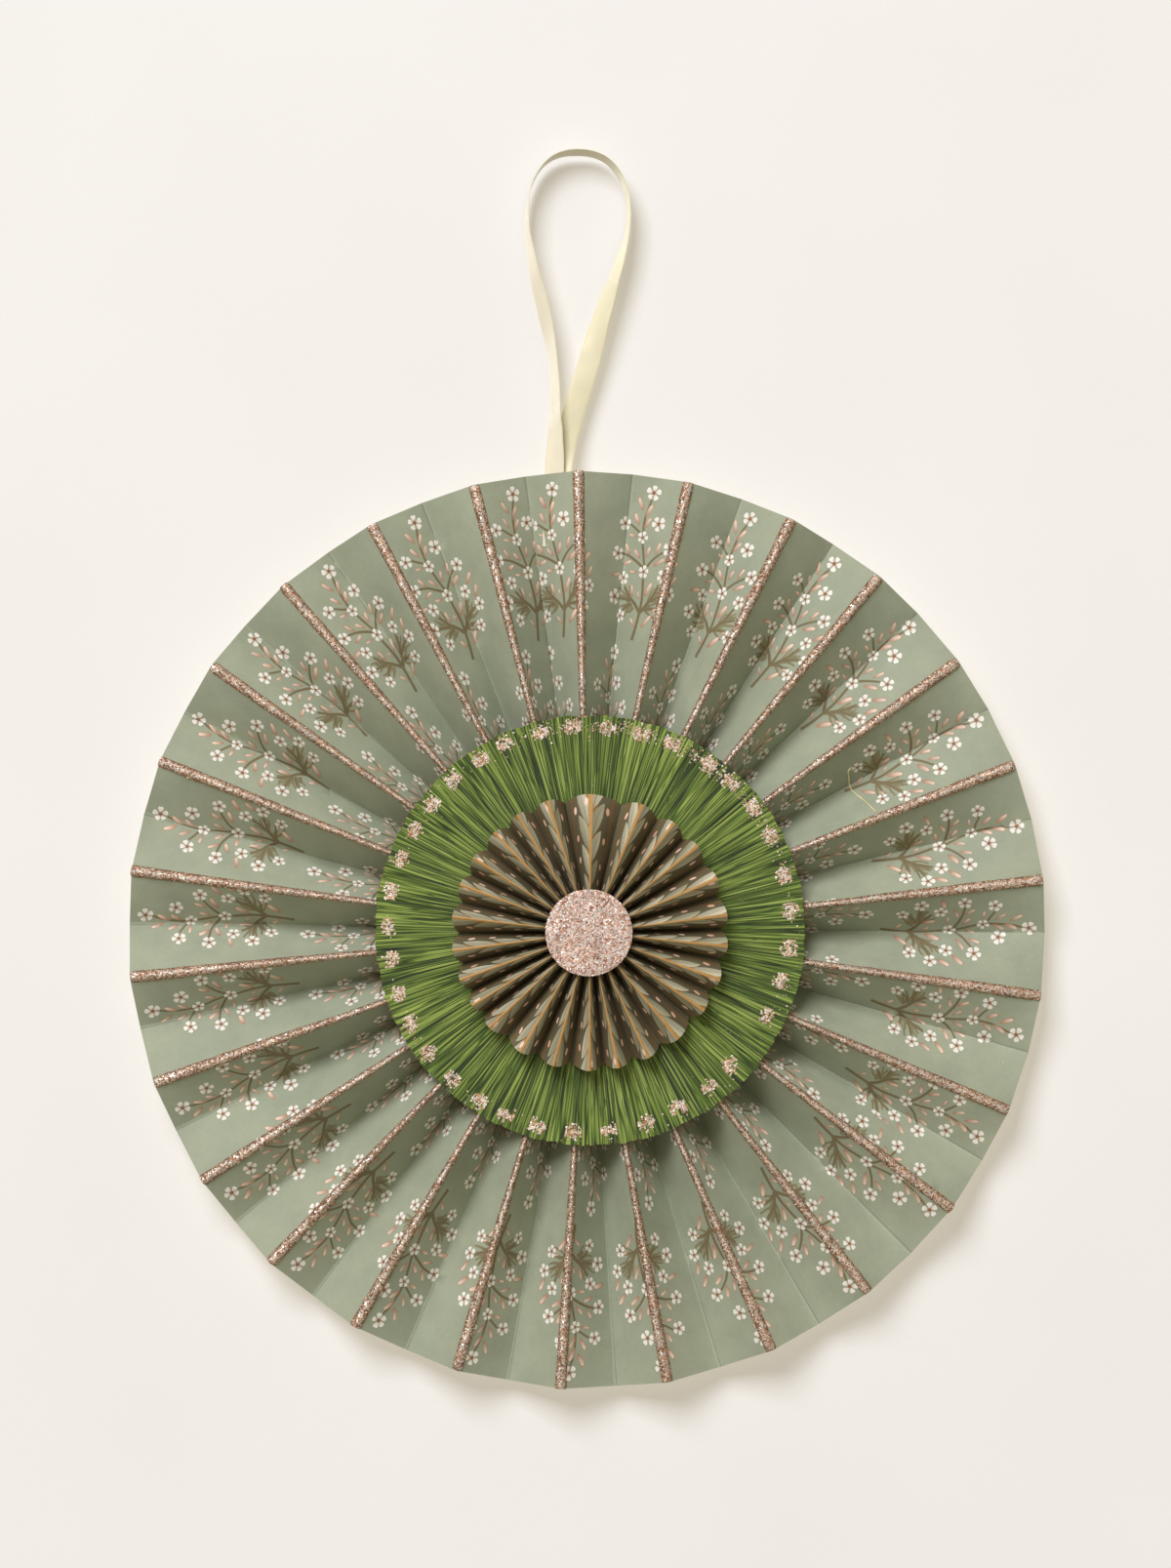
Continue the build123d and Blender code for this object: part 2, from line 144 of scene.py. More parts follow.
def point_attribute(obj, name, values, kind="FLOAT"):
    a = obj.data.attributes.new(name, kind, "POINT")
    values = np.asarray(values, np.float32)
    a.data.foreach_set({"FLOAT": "value", "FLOAT_VECTOR": "vector",
                        "FLOAT_COLOR": "color"}[kind], values.ravel())


def corner_colours(obj, name, values):
    a = obj.data.attributes.new(name, "FLOAT_COLOR", "CORNER")
    a.data.foreach_set("color", np.asarray(values, np.float32).ravel())


def merge(parts):
    """[(verts, faces array)] -> one vertex array and one face list."""
    verts, faces, base = [], [], 0
    for v, f in parts:
        verts.append(np.asarray(v, float))
        faces += [np.asarray(row) + base for row in f]
        base += len(v)
    return np.concatenate(verts), faces


def grid_faces(rows, cols, wrap=False, base=0):
    """Quads of a rows x cols vertex grid; wrap closes it along cols."""
    r = np.arange(rows - 1)[:, None]
    c = np.arange(cols if wrap else cols - 1)[None, :]
    c2 = (c + 1) % cols
    quads = np.stack([r * cols + c, r * cols + c2, (r + 1) * cols + c2,
                      (r + 1) * cols + c], -1)
    return quads.reshape(-1, 4) + base


def lin(rgb):
    """sRGB 0..255 to linear, for node colours."""
    out = []
    for c in rgb:
        c = c / 255
        out.append(c / 12.92 if c <= 0.04045 else ((c + 0.055) / 1.055) ** 2.4)
    return tuple(out) + (1.0,)


# ------------------------------------------------------------------ helpers: materials
class Mat:
    """Small wrapper that builds a node material around one Principled shader."""

    def __init__(self, name, **sockets):
        self.m = bpy.data.materials.new(name)
        self.m.use_nodes = True
        self.nt = self.m.node_tree
        self.nt.nodes.clear()
        self.out = self.nt.nodes.new("ShaderNodeOutputMaterial")
        self.b = self.nt.nodes.new("ShaderNodeBsdfPrincipled")
        self.nt.links.new(self.b.outputs[0], self.out.inputs[0])
        for k, v in sockets.items():
            self.b.inputs[k.replace("_", " ")].default_value = v

    def put(self, socket, value):
        if isinstance(value, bpy.types.NodeSocket):
            self.nt.links.new(value, socket)
        elif value is not None:
            socket.default_value = value

    def node(self, kind, inputs=None, **props):
        n = self.nt.nodes.new(kind)
        for k, v in props.items():
            setattr(n, k, v)
        for k, v in (inputs or {}).items():
            self.put(n.inputs[k], v)
        return n

    def attr(self, name, out="Fac"):
        return self.node("ShaderNodeAttribute", attribute_name=name).outputs[out]

    def math(self, op, a, b=None, c=None, clamp=False):
        n = self.node("ShaderNodeMath", operation=op, use_clamp=clamp)
        for i, v in enumerate((a, b, c)):
            if v is not None:
                self.put(n.inputs[i], v)
        return n.outputs[0]

    def vmath(self, op, a, b=None, scale=None):
        n = self.node("ShaderNodeVectorMath", operation=op)
        self.put(n.inputs[0], a)
        if b is not None:
            self.put(n.inputs[1], b)
        if scale is not None:
            self.put(n.inputs["Scale"], scale)
        return n.outputs["Value"] if op in ("LENGTH", "DOT_PRODUCT") else n.outputs[0]

    def scaled(self, vec, x, y, z=1.0):
        return self.vmath("MULTIPLY", vec, (x, y, z))

    def noise(self, vec, scale, detail=3.0, rough=0.5, distort=0.0, out="Fac"):
        n = self.node("ShaderNodeTexNoise", {"Vector": vec, "Scale": scale,
                                             "Detail": detail, "Roughness": rough,
                                             "Distortion": distort})
        return n.outputs[out]

    def voronoi(self, vec, scale, feature="F1", out="Distance", rand=1.0):
        n = self.node("ShaderNodeTexVoronoi", {"Vector": vec, "Scale": scale,
                                               "Randomness": rand}, feature=feature)
        return n.outputs[out]

    def ramp(self, fac, stops, mode="LINEAR"):
        n = self.node("ShaderNodeValToRGB", {"Fac": fac})
        n.color_ramp.interpolation = mode
        els = n.color_ramp.elements
        while len(els) < len(stops):
            els.new(0.5)
        for e, (p, c) in zip(els, stops):
            e.position, e.color = p, c
        return n.outputs[0]

    def mix(self, fac, a, b, blend="MIX"):
        n = self.node("ShaderNodeMix", data_type="RGBA", blend_type=blend)
        self.put(n.inputs[0], fac)
        self.put(n.inputs[6], a)
        self.put(n.inputs[7], b)
        return n.outputs[2]

    def range(self, v, a, b, c=0.0, d=1.0):
        n = self.node("ShaderNodeMapRange", {"Value": v, "From Min": a, "From Max": b,
                                             "To Min": c, "To Max": d})
        return n.outputs[0]

    def bump(self, height, strength, distance, normal=None):
        n = self.node("ShaderNodeBump", {"Height": height, "Strength": strength,
                                         "Distance": distance})
        if normal is not None:
            self.put(n.inputs["Normal"], normal)
        return n.outputs[0]

    def coords(self):
        """Object coordinates in millimetres."""
        t = self.node("ShaderNodeTexCoord")
        return self.vmath("SCALE", t.outputs["Object"], scale=1000.0)


def grey(v):
    return (v, v, v, 1.0)


# ------------------------------------------------------------------ folds, as in the CAD
FAN_C = np.array([2.6, -4.5, -215.8])
FAN_R, FAN_HUB_R = 127.0, 8.0
PANEL_W, PAPER_T = 16.7, 0.3
RIDGES = [12.8, 26.5, 39.6, 54.1, 68.9, 83.75, 98.3, 113.2, 127.4, 142.1, 156.25,
          169.9, 183.3, 196.5, 210.4, 223.6, 236.9, 250.5, 264.1, 277.4, 291.6,
          305.2, 318.6, 332.0, 345.75, 358.9]
VALLEYS = [19.8, 32.6, 46.3, 61.25, 76.1, 90.4, 105.6, 120.3, 135.0, 149.6,
           163.1, 176.4, 190.0, 203.3, 216.8, 230.2, 244.1, 257.6, 270.75, 284.7,
           298.4, 311.6, 325.6, 338.9, 352.3, 365.75]
ROS_C = np.array([3.4, -4.5, -216.1])
ROS_RIDGES = [0.0, 22.2, 37.5, 51.0, 67.2, 82.8, 95.7, 110.1, 124.2, 140.4, 154.8,
              168.0, 180.0, 195.3, 210.0, 226.8, 238.2, 249.9, 262.5, 276.6, 290.4,
              302.7, 316.2, 328.2, 342.0]
ROS_VALLEYS = [14.4, 31.2, 45.0, 59.4, 74.4, 88.8, 102.0, 116.4, 130.8, 147.9,
               161.1, 174.0, 188.4, 203.1, 218.4, 232.8, 243.9, 256.2, 269.4, 282.9,
               295.8, 308.7, 322.2, 334.8, 349.2]
ROS_W, ROS_T, ROS_HUB_R = 9.6, 0.25, 5.0
CREPE_C = np.array([3.5, -4.5, -215.7])
DISC_C = np.array([3.1, -4.5, -216.1])


class Ring:
    """A pleated ring, folded like the CAD strips: fold k sits at angle ang[k], and a
    panel between two folds is ruled. u runs along the strip, v is the radius."""

    def __init__(self, ridges, valleys, centre, width, thick, min_depth, rest=None,
                 radius_of=None, bend_of=None, bow=0.0, belly=0.0):
        pairs = sorted([(a, 1) for a in ridges] + [(a % 360, 0) for a in valleys])
        self.ang = np.array([a for a, _ in pairs])
        self.ridge = np.array([k for _, k in pairs])
        self.n = len(pairs)
        self.c, self.w, self.t = centre, width, thick
        self.min_depth, self.rest, self.radius_of = min_depth, rest, radius_of
        self.bend_of = bend_of                   # half width of a bend: (is ridge, radius)
        self.round = (0.9, 0.7)
        self.bow, self.belly = bow, belly        # uneven and even curve of the panels

    def index(self, a):
        return int(np.argmin(abs(self.ang - a % 360)))

    def angle(self, k):
        k = np.asarray(k)
        return self.ang[k % self.n] + 360.0 * (k // self.n)

    def fold_y(self, k, r):
        chord = 2 * r * np.sin(np.radians((self.angle(k + 1) - self.angle(k - 1)) / 4))
        depth = np.sqrt(np.maximum(self.w ** 2 - chord ** 2, self.min_depth ** 2))
        v = np.minimum(self.t * np.sqrt(chord ** 2 + depth ** 2) / chord, 0.46 * depth)
        ridge = self.ridge[np.asarray(k) % self.n] == 1
        if self.rest is None:
            return np.where(ridge, -(depth - v) / 2, (depth - v) / 2)
        return np.where(ridge, self.rest - depth + v / 2, self.rest - v / 2)

    def flat(self, u, v):
        """Sharp-folded mid surface, centred on the ring's axis."""
        k = np.floor(u / self.w + 1e-9).astype(int)
        f = u / self.w - k
        r0 = r1 = v
        if self.radius_of is not None:
            r0, r1 = self.radius_of(self, u, v), self.radius_of(self, u, v)
        a0, a1 = np.radians(self.angle(k)), np.radians(self.angle(k + 1))
        x = np.sin(a0) * r0 * (1 - f) + np.sin(a1) * r1 * f
        z = np.cos(a0) * r0 * (1 - f) + np.cos(a1) * r1 * f
        y = self.fold_y(k, r0) * (1 - f) + self.fold_y(k + 1, r1) * f
        y = y - self.belly * np.sin(PI * f)
        if self.bow:
            kk = (k % self.n).astype(float)
            y = y + self.bow * np.sin(PI * f) * value_noise(kk * 1.7 + 0.31, v / 38.0, 5)
        return np.stack([x, y, z], -1)

    def mid(self, u, v):
        """Mid surface with rounded folds."""
        p = self.flat(u, v)
        k = np.round(u / self.w).astype(int)
        bend = self.bend_of(self.ridge[k % self.n] == 1, v)
        d = u - k * self.w
        t = np.clip((d + bend) / (2 * bend), 0, 1)[..., None]
        a, b, c = (self.flat(k * self.w - bend, v), self.flat(k * self.w + 0.0 * d, v),
                   self.flat(k * self.w + bend, v))
        curve = (1 - t) ** 2 * a + 2 * t * (1 - t) * b + t ** 2 * c
        return np.where((abs(d) < bend)[..., None], curve, p)

    def normal(self, u, v, e=0.05):
        du = self.mid(u + e, v) - self.mid(u - e, v)
        dv = self.mid(u, v + e) - self.mid(u, v - e)
        n = np.cross(du, dv)
        n /= np.linalg.norm(n, axis=-1, keepdims=True) + 1e-12
        return n                                  # points to the front


def fan_bend(is_ridge, v):
    return np.where(is_ridge, 0.9, 0.7) * np.clip(v / 45.0, 0.12, 1.0)


fan = Ring(RIDGES, VALLEYS, FAN_C, PANEL_W, PAPER_T, 2.4, bend_of=fan_bend, bow=0.24)
IA, IB = fan.index(352.3), fan.index(120.3)


# ------------------------------------------------------------------ print, as flat shapes
# A shape is (layer, outline points, colour function). Outlines are in strip space.
def turned(pts, angle, at=(0, 0), size=1.0):
    a = math.radians(angle)
    rot = np.array([[math.cos(a), math.sin(a)], [-math.sin(a), math.cos(a)]])
    return np.asarray(pts, float) * size @ rot + np.asarray(at, float)


PETAL = [(0.12, 0.0), (0.42, 0.19), (0.72, 0.34), (0.95, 0.26), (1.0, 0.07), (0.94, -0.01),
         (1.0, -0.12), (0.90, -0.31), (0.68, -0.33), (0.40, -0.18)]
LEAF = [(-0.5, -0.03), (-0.28, 0.12), (0.02, 0.17), (0.30, 0.16), (0.47, 0.09), (0.5, -0.02),
        (0.36, -0.12), (0.10, -0.13), (-0.16, -0.17), (-0.36, -0.10)]


def stroke(points, w0, w1, steps=3):
    """Outline of a brush stroke along a polyline, from width w0 to w1."""
    p = np.asarray(points, float)
    # smooth the polyline with a quadratic pass
    t = np.linspace(0, len(p) - 1, steps * (len(p) - 1) + 1)
    k = np.clip(np.floor(t).astype(int), 0, len(p) - 2)
    f = (t - k)[:, None]
    prev, nxt = p[np.maximum(k - 1, 0)], p[np.minimum(k + 2, len(p) - 1)]
    q = 0.5 * (2 * p[k] + (p[k + 1] - prev) * f
               + (2 * prev - 5 * p[k] + 4 * p[k + 1] - nxt) * f ** 2
               + (3 * p[k] - prev - 3 * p[k + 1] + nxt) * f ** 3)
    d = np.gradient(q, axis=0)
    d /= np.linalg.norm(d, axis=1, keepdims=True) + 1e-9
    side = np.stack([-d[:, 1], d[:, 0]], 1)
    w = np.linspace(w0, w1, len(q))[:, None] / 2
    left, right = q + side * w, q - side * w
    return np.concatenate([left, right[::-1]])


# blossom sprig in mm from its top blossom: (x, y, diameter, turn)
BLOSSOMS = [(0, 0, 4.6, 10), (3.1, -8.4, 4.5, 50), (-8.0, -9.3, 4.1, 25),
            (-1.4, -12.7, 3.6, 70), (8.3, -15.0, 4.4, 5), (-9.7, -17.7, 4.3, 40),
            (0.7, -22.1, 3.9, 15), (7.9, -22.8, 4.1, 60), (-6.6, -24.4, 4.0, 30),
            (11.8, -27.3, 4.1, 80), (-9.8, -29.8, 4.5, 12), (9.6, -33.0, 4.0, 55),
            (-6.4, -35.0, 3.8, 35)]
# leaves: (x, y, lean to the right from upright, length)
LEAVES = [(-3.4, -3.5, -25, 3.6), (-0.6, -5.1, 28, 3.6), (-4.0, -7.8, -28, 3.2),
          (-0.5, -8.5, 32, 3.2), (-4.7, -12.4, -80, 2.6), (-6.0, -16.3, -32, 3.2),
          (-2.5, -17.4, -42, 3.0), (-5.9, -20.1, 72, 3.0), (-3.0, -22.4, -85, 2.6),
          (-10.1, -23.6, 80, 3.4), (-2.6, -27.8, -12, 3.4), (-0.8, -36.4, -42, 2.8),
          (1.2, -16.5, 17, 3.0), (4.4, -15.2, 20, 3.2), (5.6, -19.0, 60, 3.8),
          (10.6, -19.6, 45, 3.8), (11.9, -23.6, 27, 3.6), (3.4, -26.9, 28, 4.2),
          (0.1, -28.8, -20, 2.0), (4.9, -35.7, 45, 4.4), (7.2, -32.4, 75, 2.0)]
STEMS = [
    ([(0.2, -41.3), (1.0, -37.5), (1.6, -33.3), (1.7, -29.5), (0.9, -24.0)], 0.75, 0.5),
    ([(0.6, -20.5), (-0.4, -17.0), (-1.2, -14.2)], 0.5, 0.42),
    ([(-1.6, -11.2), (-1.5, -7.5), (-0.9, -4.0), (-0.2, -2.0)], 0.5, 0.34),
    ([(-1.6, -12.0), (-3.6, -10.9), (-6.0, -9.3)], 0.46, 0.34),
    ([(0.2, -21.0), (-2.2, -19.6), (-5.0, -18.3), (-8.0, -17.6)], 0.55, 0.38),
    ([(1.6, -20.6), (3.6, -18.2), (6.4, -15.9)], 0.5, 0.36),
    ([(1.6, -33.6), (-0.8, -31.4), (-3.6, -29.3), (-5.8, -26.8)], 0.75, 0.42),
    ([(-2.4, -30.4), (-5.0, -30.2), (-7.8, -29.9)], 0.55, 0.34),
    ([(-2.0, -31.2), (-4.6, -32.4), (-5.6, -33.6)], 0.5, 0.34),
    ([(1.8, -33.4), (3.9, -31.0), (6.0, -28.0), (7.2, -25.0)], 0.75, 0.4),
    ([(4.6, -30.2), (7.2, -29.0), (9.8, -27.8)], 0.55, 0.36),
    ([(2.6, -32.8), (5.4, -32.0), (8.0, -32.4)], 0.5, 0.32),
]
# soft brown-olive brush marks round the lower branches
TUFTS = [((-3.0, -30.6), (-6.8, -27.6)), ((-3.6, -30.0), (-4.6, -26.4)),
         ((-4.4, -29.6), (-8.2, -28.4)), ((-2.8, -31.2), (-7.4, -31.6)),
         ((-1.8, -32.0), (-5.0, -34.2)), ((-1.2, -32.4), (-3.8, -33.4)),
         ((4.0, -31.2), (6.2, -26.6)), ((4.8, -30.2), (8.6, -26.0)),
         ((5.2, -30.0), (10.2, -28.4)), ((3.6, -31.8), (8.4, -30.6)),
         ((3.0, -32.4), (8.2, -33.2)), ((5.6, -28.6), (8.0, -25.6))]

SAGE_BLOSSOM = np.array(lin((242, 236, 228))[:3])
SAGE_BLUSH = np.array(lin((214, 198, 184))[:3])
SAGE_EYE = np.array(lin((140, 94, 66))[:3])
SAGE_EYE2 = np.array(lin((170, 138, 116))[:3])
SAGE_LEAF = np.array(lin((228, 203, 184))[:3])
SAGE_LEAF2 = np.array(lin((168, 128, 104))[:3])
SAGE_STEM = np.array(lin((114, 99, 66))[:3])
SAGE_TUFT = np.array(lin((122, 109, 74))[:3])


def blossom_colour(cu, cv, radius):
    def f(u, v):
        d = np.hypot(u - cu, v - cv) / radius
        s = smooth((d - 0.22) / 0.45)[..., None]
        return SAGE_BLUSH * (1 - s) + SAGE_BLOSSOM * s
    return f


def leaf_colour(c, cu, cv, lean, length):
    """Paler towards the tip, brown at the foot of the leaf."""
    a = math.radians(lean)

    def f(u, v):
        d = ((u - cu) * math.sin(a) + (v - cv) * math.cos(a)) / length
        t = smooth(d + 0.55)[..., None]
        return SAGE_LEAF2 * (1 - t) + c * t
    return f


def const_colour(c):
    return lambda u, v: np.broadcast_to(c, u.shape + (3,))


def sprig(u0, v0, seed, v_min, u_lo, u_hi):
    """Shapes of one blossom sprig whose top blossom is at (u0, v0)."""
    rng = np.random.default_rng(seed)
    shapes = []

    def keep(pts):
        return (pts[:, 1].max() > v_min and pts[:, 0].max() > u_lo and pts[:, 0].min() < u_hi)

    for a, b in TUFTS:
        a, b = np.array(a), np.array(b)
        for turn_by in (0, 1):
            side = np.array([a[1] - b[1], b[0] - a[0]]) * 0.16 * (2 * turn_by - 1)
            m = (a + b) / 2 + rng.normal(0, 0.25, 2) + side
            e = b + rng.normal(0, 0.4, 2) + side * 1.3
            pts = stroke([a, m, e], 0.9, 0.5, 2) + (u0, v0)
            if keep(pts):
                shapes.append((1, pts, const_colour(SAGE_TUFT * rng.uniform(0.85, 1.15)), 0.8))
    for line, w0, w1 in STEMS:
        pts = stroke(np.array(line) + rng.normal(0, 0.06, (len(line), 2)),
                     w0 * 1.6, w1 * 1.75) + (u0, v0)
        if keep(pts):
            shapes.append((2, pts, const_colour(SAGE_STEM), 0.9))
    for x, y, lean, length in LEAVES:
        wide = 1.0 + rng.uniform(-0.1, 0.25)
        base = np.array(LEAF) * (length * 1.22, length * 1.10 * wide)
        pts = turned(base * (0.90, 0.74), 90 - lean, (u0 + x, v0 + y))
        rim = turned(base, 90 - lean, (u0 + x, v0 + y))
        if keep(pts):
            c = SAGE_LEAF * (1 + rng.uniform(-0.10, 0.10))
            shapes.append((3, rim, const_colour(SAGE_LEAF2), 0.85))
            shapes.append((3.5, pts, leaf_colour(c, u0 + x, v0 + y, lean, length), 1.0))
    for x, y, dia, turn in BLOSSOMS:
        cu, cv, rad = u0 + x, v0 + y, dia / 2 * 0.96
        for k in range(5):
            wob = rng.uniform(-6, 6)
            size = rad * rng.uniform(0.92, 1.06)
            pts = turned(PETAL, turn + 72 * k + wob, (cu, cv), size)
            if keep(pts):
                shapes.append((4, pts, blossom_colour(cu, cv, rad), 1.0))
        star = [(math.cos(t) * q * rad, math.sin(t) * q * rad)
                for t, q in zip(np.arange(10) * PI / 5, (0.46, 0.20) * 5)]
        pts = turned(star, turn + 54, (cu, cv))
        if keep(pts):
            shapes.append((5, pts, const_colour(SAGE_EYE2), 0.7))
        ring = [(math.cos(t) * 0.25 * rad, math.sin(t) * 0.25 * rad)
                for t in np.arange(6) * 2 * PI / 6]
        pts = turned(ring, rng.uniform(0, 50), (cu, cv))
        if keep(pts):
            shapes.append((6, pts, const_colour(SAGE_EYE), 1.0))
    return shapes


def ccw(p):
    x, y = p[:, 0], p[:, 1]
    area = np.sum(x * np.roll(y, -1) - np.roll(x, -1) * y)
    return p if area > 0 else p[::-1]


def cdt(points, edges, faces, u0):
    """Constrained triangulation; u0 is taken off u while it runs."""
    vec = [Vector((float(x - u0), float(y))) for x, y in points]
    out = geometry.delaunay_2d_cdt(vec, edges, faces, 0, 1e-5, True)
    verts = np.array([(p.x + u0, p.y) for p in out[0]])
    return verts, out


def inside(verts, tris, rect, notch):
    c = verts[tris].mean(1)
    ok = (c[:, 0] > rect[0]) & (c[:, 0] < rect[1]) & (c[:, 1] > rect[2]) & (c[:, 1] < rect[3])
    if notch:
        ok &= ~((c[:, 0] > notch[0]) & (c[:, 1] < notch[1]))
    return ok


def turn_up(verts, tris, sign):
    a, b, d = (verts[tris[:, i]] for i in range(3))
    area = (b[:, 0] - a[:, 0]) * (d[:, 1] - a[:, 1]) - (b[:, 1] - a[:, 1]) * (d[:, 0] - a[:, 0])
    return tris[:, ::-1].copy() if area.sum() * sign < 0 else tris.copy()


def triangulate(us, vs, shapes, fold_lines, rect, notch):
    """Splits the sheet into triangles along every outline. Returns points,
    triangles and the index of the topmost shape over each triangle, or -1."""
    gu, gv = np.meshgrid(us, vs, indexing="ij")
    pts = [np.stack([gu.ravel(), gv.ravel()], 1)]
    nv = len(vs)
    edges = []
    for c, u in enumerate(us):
        whole = any(abs(u - x) < 1e-6 for x in fold_lines) or c in (0, len(us) - 1)
        if whole or (notch and abs(u - notch[0]) < 1e-6):
            edges += [(c * nv + j, c * nv + j + 1) for j in range(nv - 1)]
    rows = [0, nv - 1]
    if notch:
        rows.append(int(np.argmin(abs(np.array(vs) - notch[1]))))
    for j in rows:
        edges += [(c * nv + j, (c + 1) * nv + j) for c in range(len(us) - 1)]
    faces, base = [], len(pts[0])
    order = sorted(range(len(shapes)), key=lambda i: shapes[i][0])
    for i in order:
        p = ccw(shapes[i][1])
        pts.append(p)
        faces.append(list(range(base, base + len(p))))
        base += len(p)
    verts, out = cdt(np.concatenate(pts), edges, faces, rect[0])
    three = [i for i, f in enumerate(out[2]) if len(f) == 3]
    tris = np.array([out[2][i] for i in three], int)
    top = np.array([max(out[5][i]) if out[5][i] else -1 for i in three], int)
    ok = inside(verts, tris, rect, notch)
    tris, top = turn_up(verts, tris[ok], 1), top[ok]
    used, inv = np.unique(tris, return_inverse=True)
    tris = inv.reshape(-1, 3)
    top = np.array([order[t] if t >= 0 else -1 for t in top], int)
    return verts[used], tris, top


def boundary_loop(tris):
    """Ordered vertex loop round the outside of a triangulation."""
    e = np.concatenate([tris[:, [0, 1]], tris[:, [1, 2]], tris[:, [2, 0]]])
    pairs = {(int(a), int(b)) for a, b in e}
    nxt = {a: b for a, b in pairs if (b, a) not in pairs}
    start = next(iter(nxt))
    loop, cur = [start], nxt[start]
    while cur != start:
        loop.append(cur)
        cur = nxt[cur]
    if len(loop) != len(nxt):
        print("boundary has", len(nxt), "edges but the loop has", len(loop))
    return loop


def fold_grid(u_lo, u_hi, ring, inner, extra=()):
    """Grid lines across a strip: close together at each fold."""
    w = ring.w
    lines = {round(u_lo, 6), round(u_hi, 6)} | {round(x, 6) for x in extra}
    for k in range(int(math.floor(u_lo / w)) - 1, int(math.ceil(u_hi / w)) + 2):
        b = ring.round[0] if ring.ridge[k % ring.n] == 1 else ring.round[1]
        offs = [x * b for x in (-1.0, -0.6, -0.25, 0.0, 0.25, 0.6, 1.0)]
        offs += list(np.linspace(b, w - b, inner + 2)[1:-1])
        for o in offs:
            u = round(k * w + o, 6)
            if u_lo + 0.1 < u < u_hi - 0.1 and all(abs(u - x) > 0.1 for x in extra):
                lines.add(u)
    return sorted(lines)


def sheet(name, ring, u_lo, u_hi, vs, shapes, ground, push, material, notch=None,
          inner=4, back_inner=1):
    """A folded sheet of printed paper with thickness; the print is cut into its mesh."""
    thick = ring.t
    rect = (u_lo, u_hi, vs[0], vs[-1])
    extra = [notch[0]] if notch else []
    us = fold_grid(u_lo, u_hi, ring, inner, extra)
    k0 = int(math.floor(u_lo / ring.w))
    lines = [round(k * ring.w, 6) for k in range(k0, int(u_hi / ring.w) + 2)]
    verts, tris, top = triangulate(us, vs, shapes, lines, rect, notch)
    loop = boundary_loop(tris)
    # the back has the same edge points and a coarser inside
    bu = fold_grid(u_lo, u_hi, ring, back_inner)
    gu, gv = np.meshgrid(bu[1:-1], vs[1:-1:2], indexing="ij")
    inner_pts = np.stack([gu.ravel(), gv.ravel()], 1)
    if notch:
        inner_pts = inner_pts[~((inner_pts[:, 0] > notch[0] - 0.05)
                                & (inner_pts[:, 1] < notch[1] + 0.05))]
    rim = verts[loop]
    n = len(rim)
    bverts, out = cdt(np.concatenate([rim, inner_pts]), [(i, (i + 1) % n) for i in range(n)],
                      [], u_lo)
    where = {o: new for new, olds in enumerate(out[3]) for o in olds}
    btris = np.array([f for f in out[2] if len(f) == 3], int)
    btris = turn_up(bverts, btris[inside(bverts, btris, rect, notch)], -1)

    def place(p, side):
        u, v = p[:, 0], p[:, 1]
        off = push(u, v) + side * thick / 2
        return ring.mid(u, v) + ring.normal(u, v) * off[:, None] + ring.c

    nf = len(verts)
    walls = []
    for i in range(n):
        p, q = loop[i], loop[(i + 1) % n]
        bp, bq = nf + where[i], nf + where[(i + 1) % n]
        walls += [(q, p, bp), (q, bp, bq)]
    all_v = np.concatenate([place(verts, 1.0), place(bverts, -1.0)])
    all_f = np.concatenate([tris, btris + nf, np.array(walls)])
    obj = new_piece(name, all_v, all_f, material)
    # colours: one per face corner, from the topmost shape there
    u, v = verts[tris][..., 0], verts[tris][..., 1]
    col = np.ones(tris.shape + (4,))
    col[..., :3] = ground(u, v)
    for s in np.unique(top):
        if s >= 0:
            m = top == s
            _, _, fn, strength = shapes[s]
            col[m, :, :3] = col[m][..., :3] * (1 - strength) + fn(u[m], v[m]) * strength
    rest = np.ones((len(btris) + len(walls), 3, 4))
    corner_colours(obj, "print", np.concatenate([col, rest]))
    side = np.zeros(len(all_f) * 3, np.float32)
    side[: len(tris) * 3] = 1
    a = obj.data.attributes.new("front", "FLOAT", "CORNER")
    a.data.foreach_set("value", side)
    flat = np.zeros((len(all_v), 3))
    flat[:nf, :2], flat[nf:, :2] = verts, bverts
    flat[nf:, 2] = 40
    point_attribute(obj, "flat", flat, "FLOAT_VECTOR")
    d = flat[:, 0] - np.round(flat[:, 0] / ring.w) * ring.w
    point_attribute(obj, "crease", np.exp(-(d / 0.30) ** 2))
    # signed distance from the fold, for the painted shade on one side of it and the painted highlight on the other
    point_attribute(obj, "fold_shade_highlight", d / 0.25 * np.exp(0.5 - (d / 0.36) ** 2))
    print(name, "triangles", len(all_f), "loop", n)
    return obj


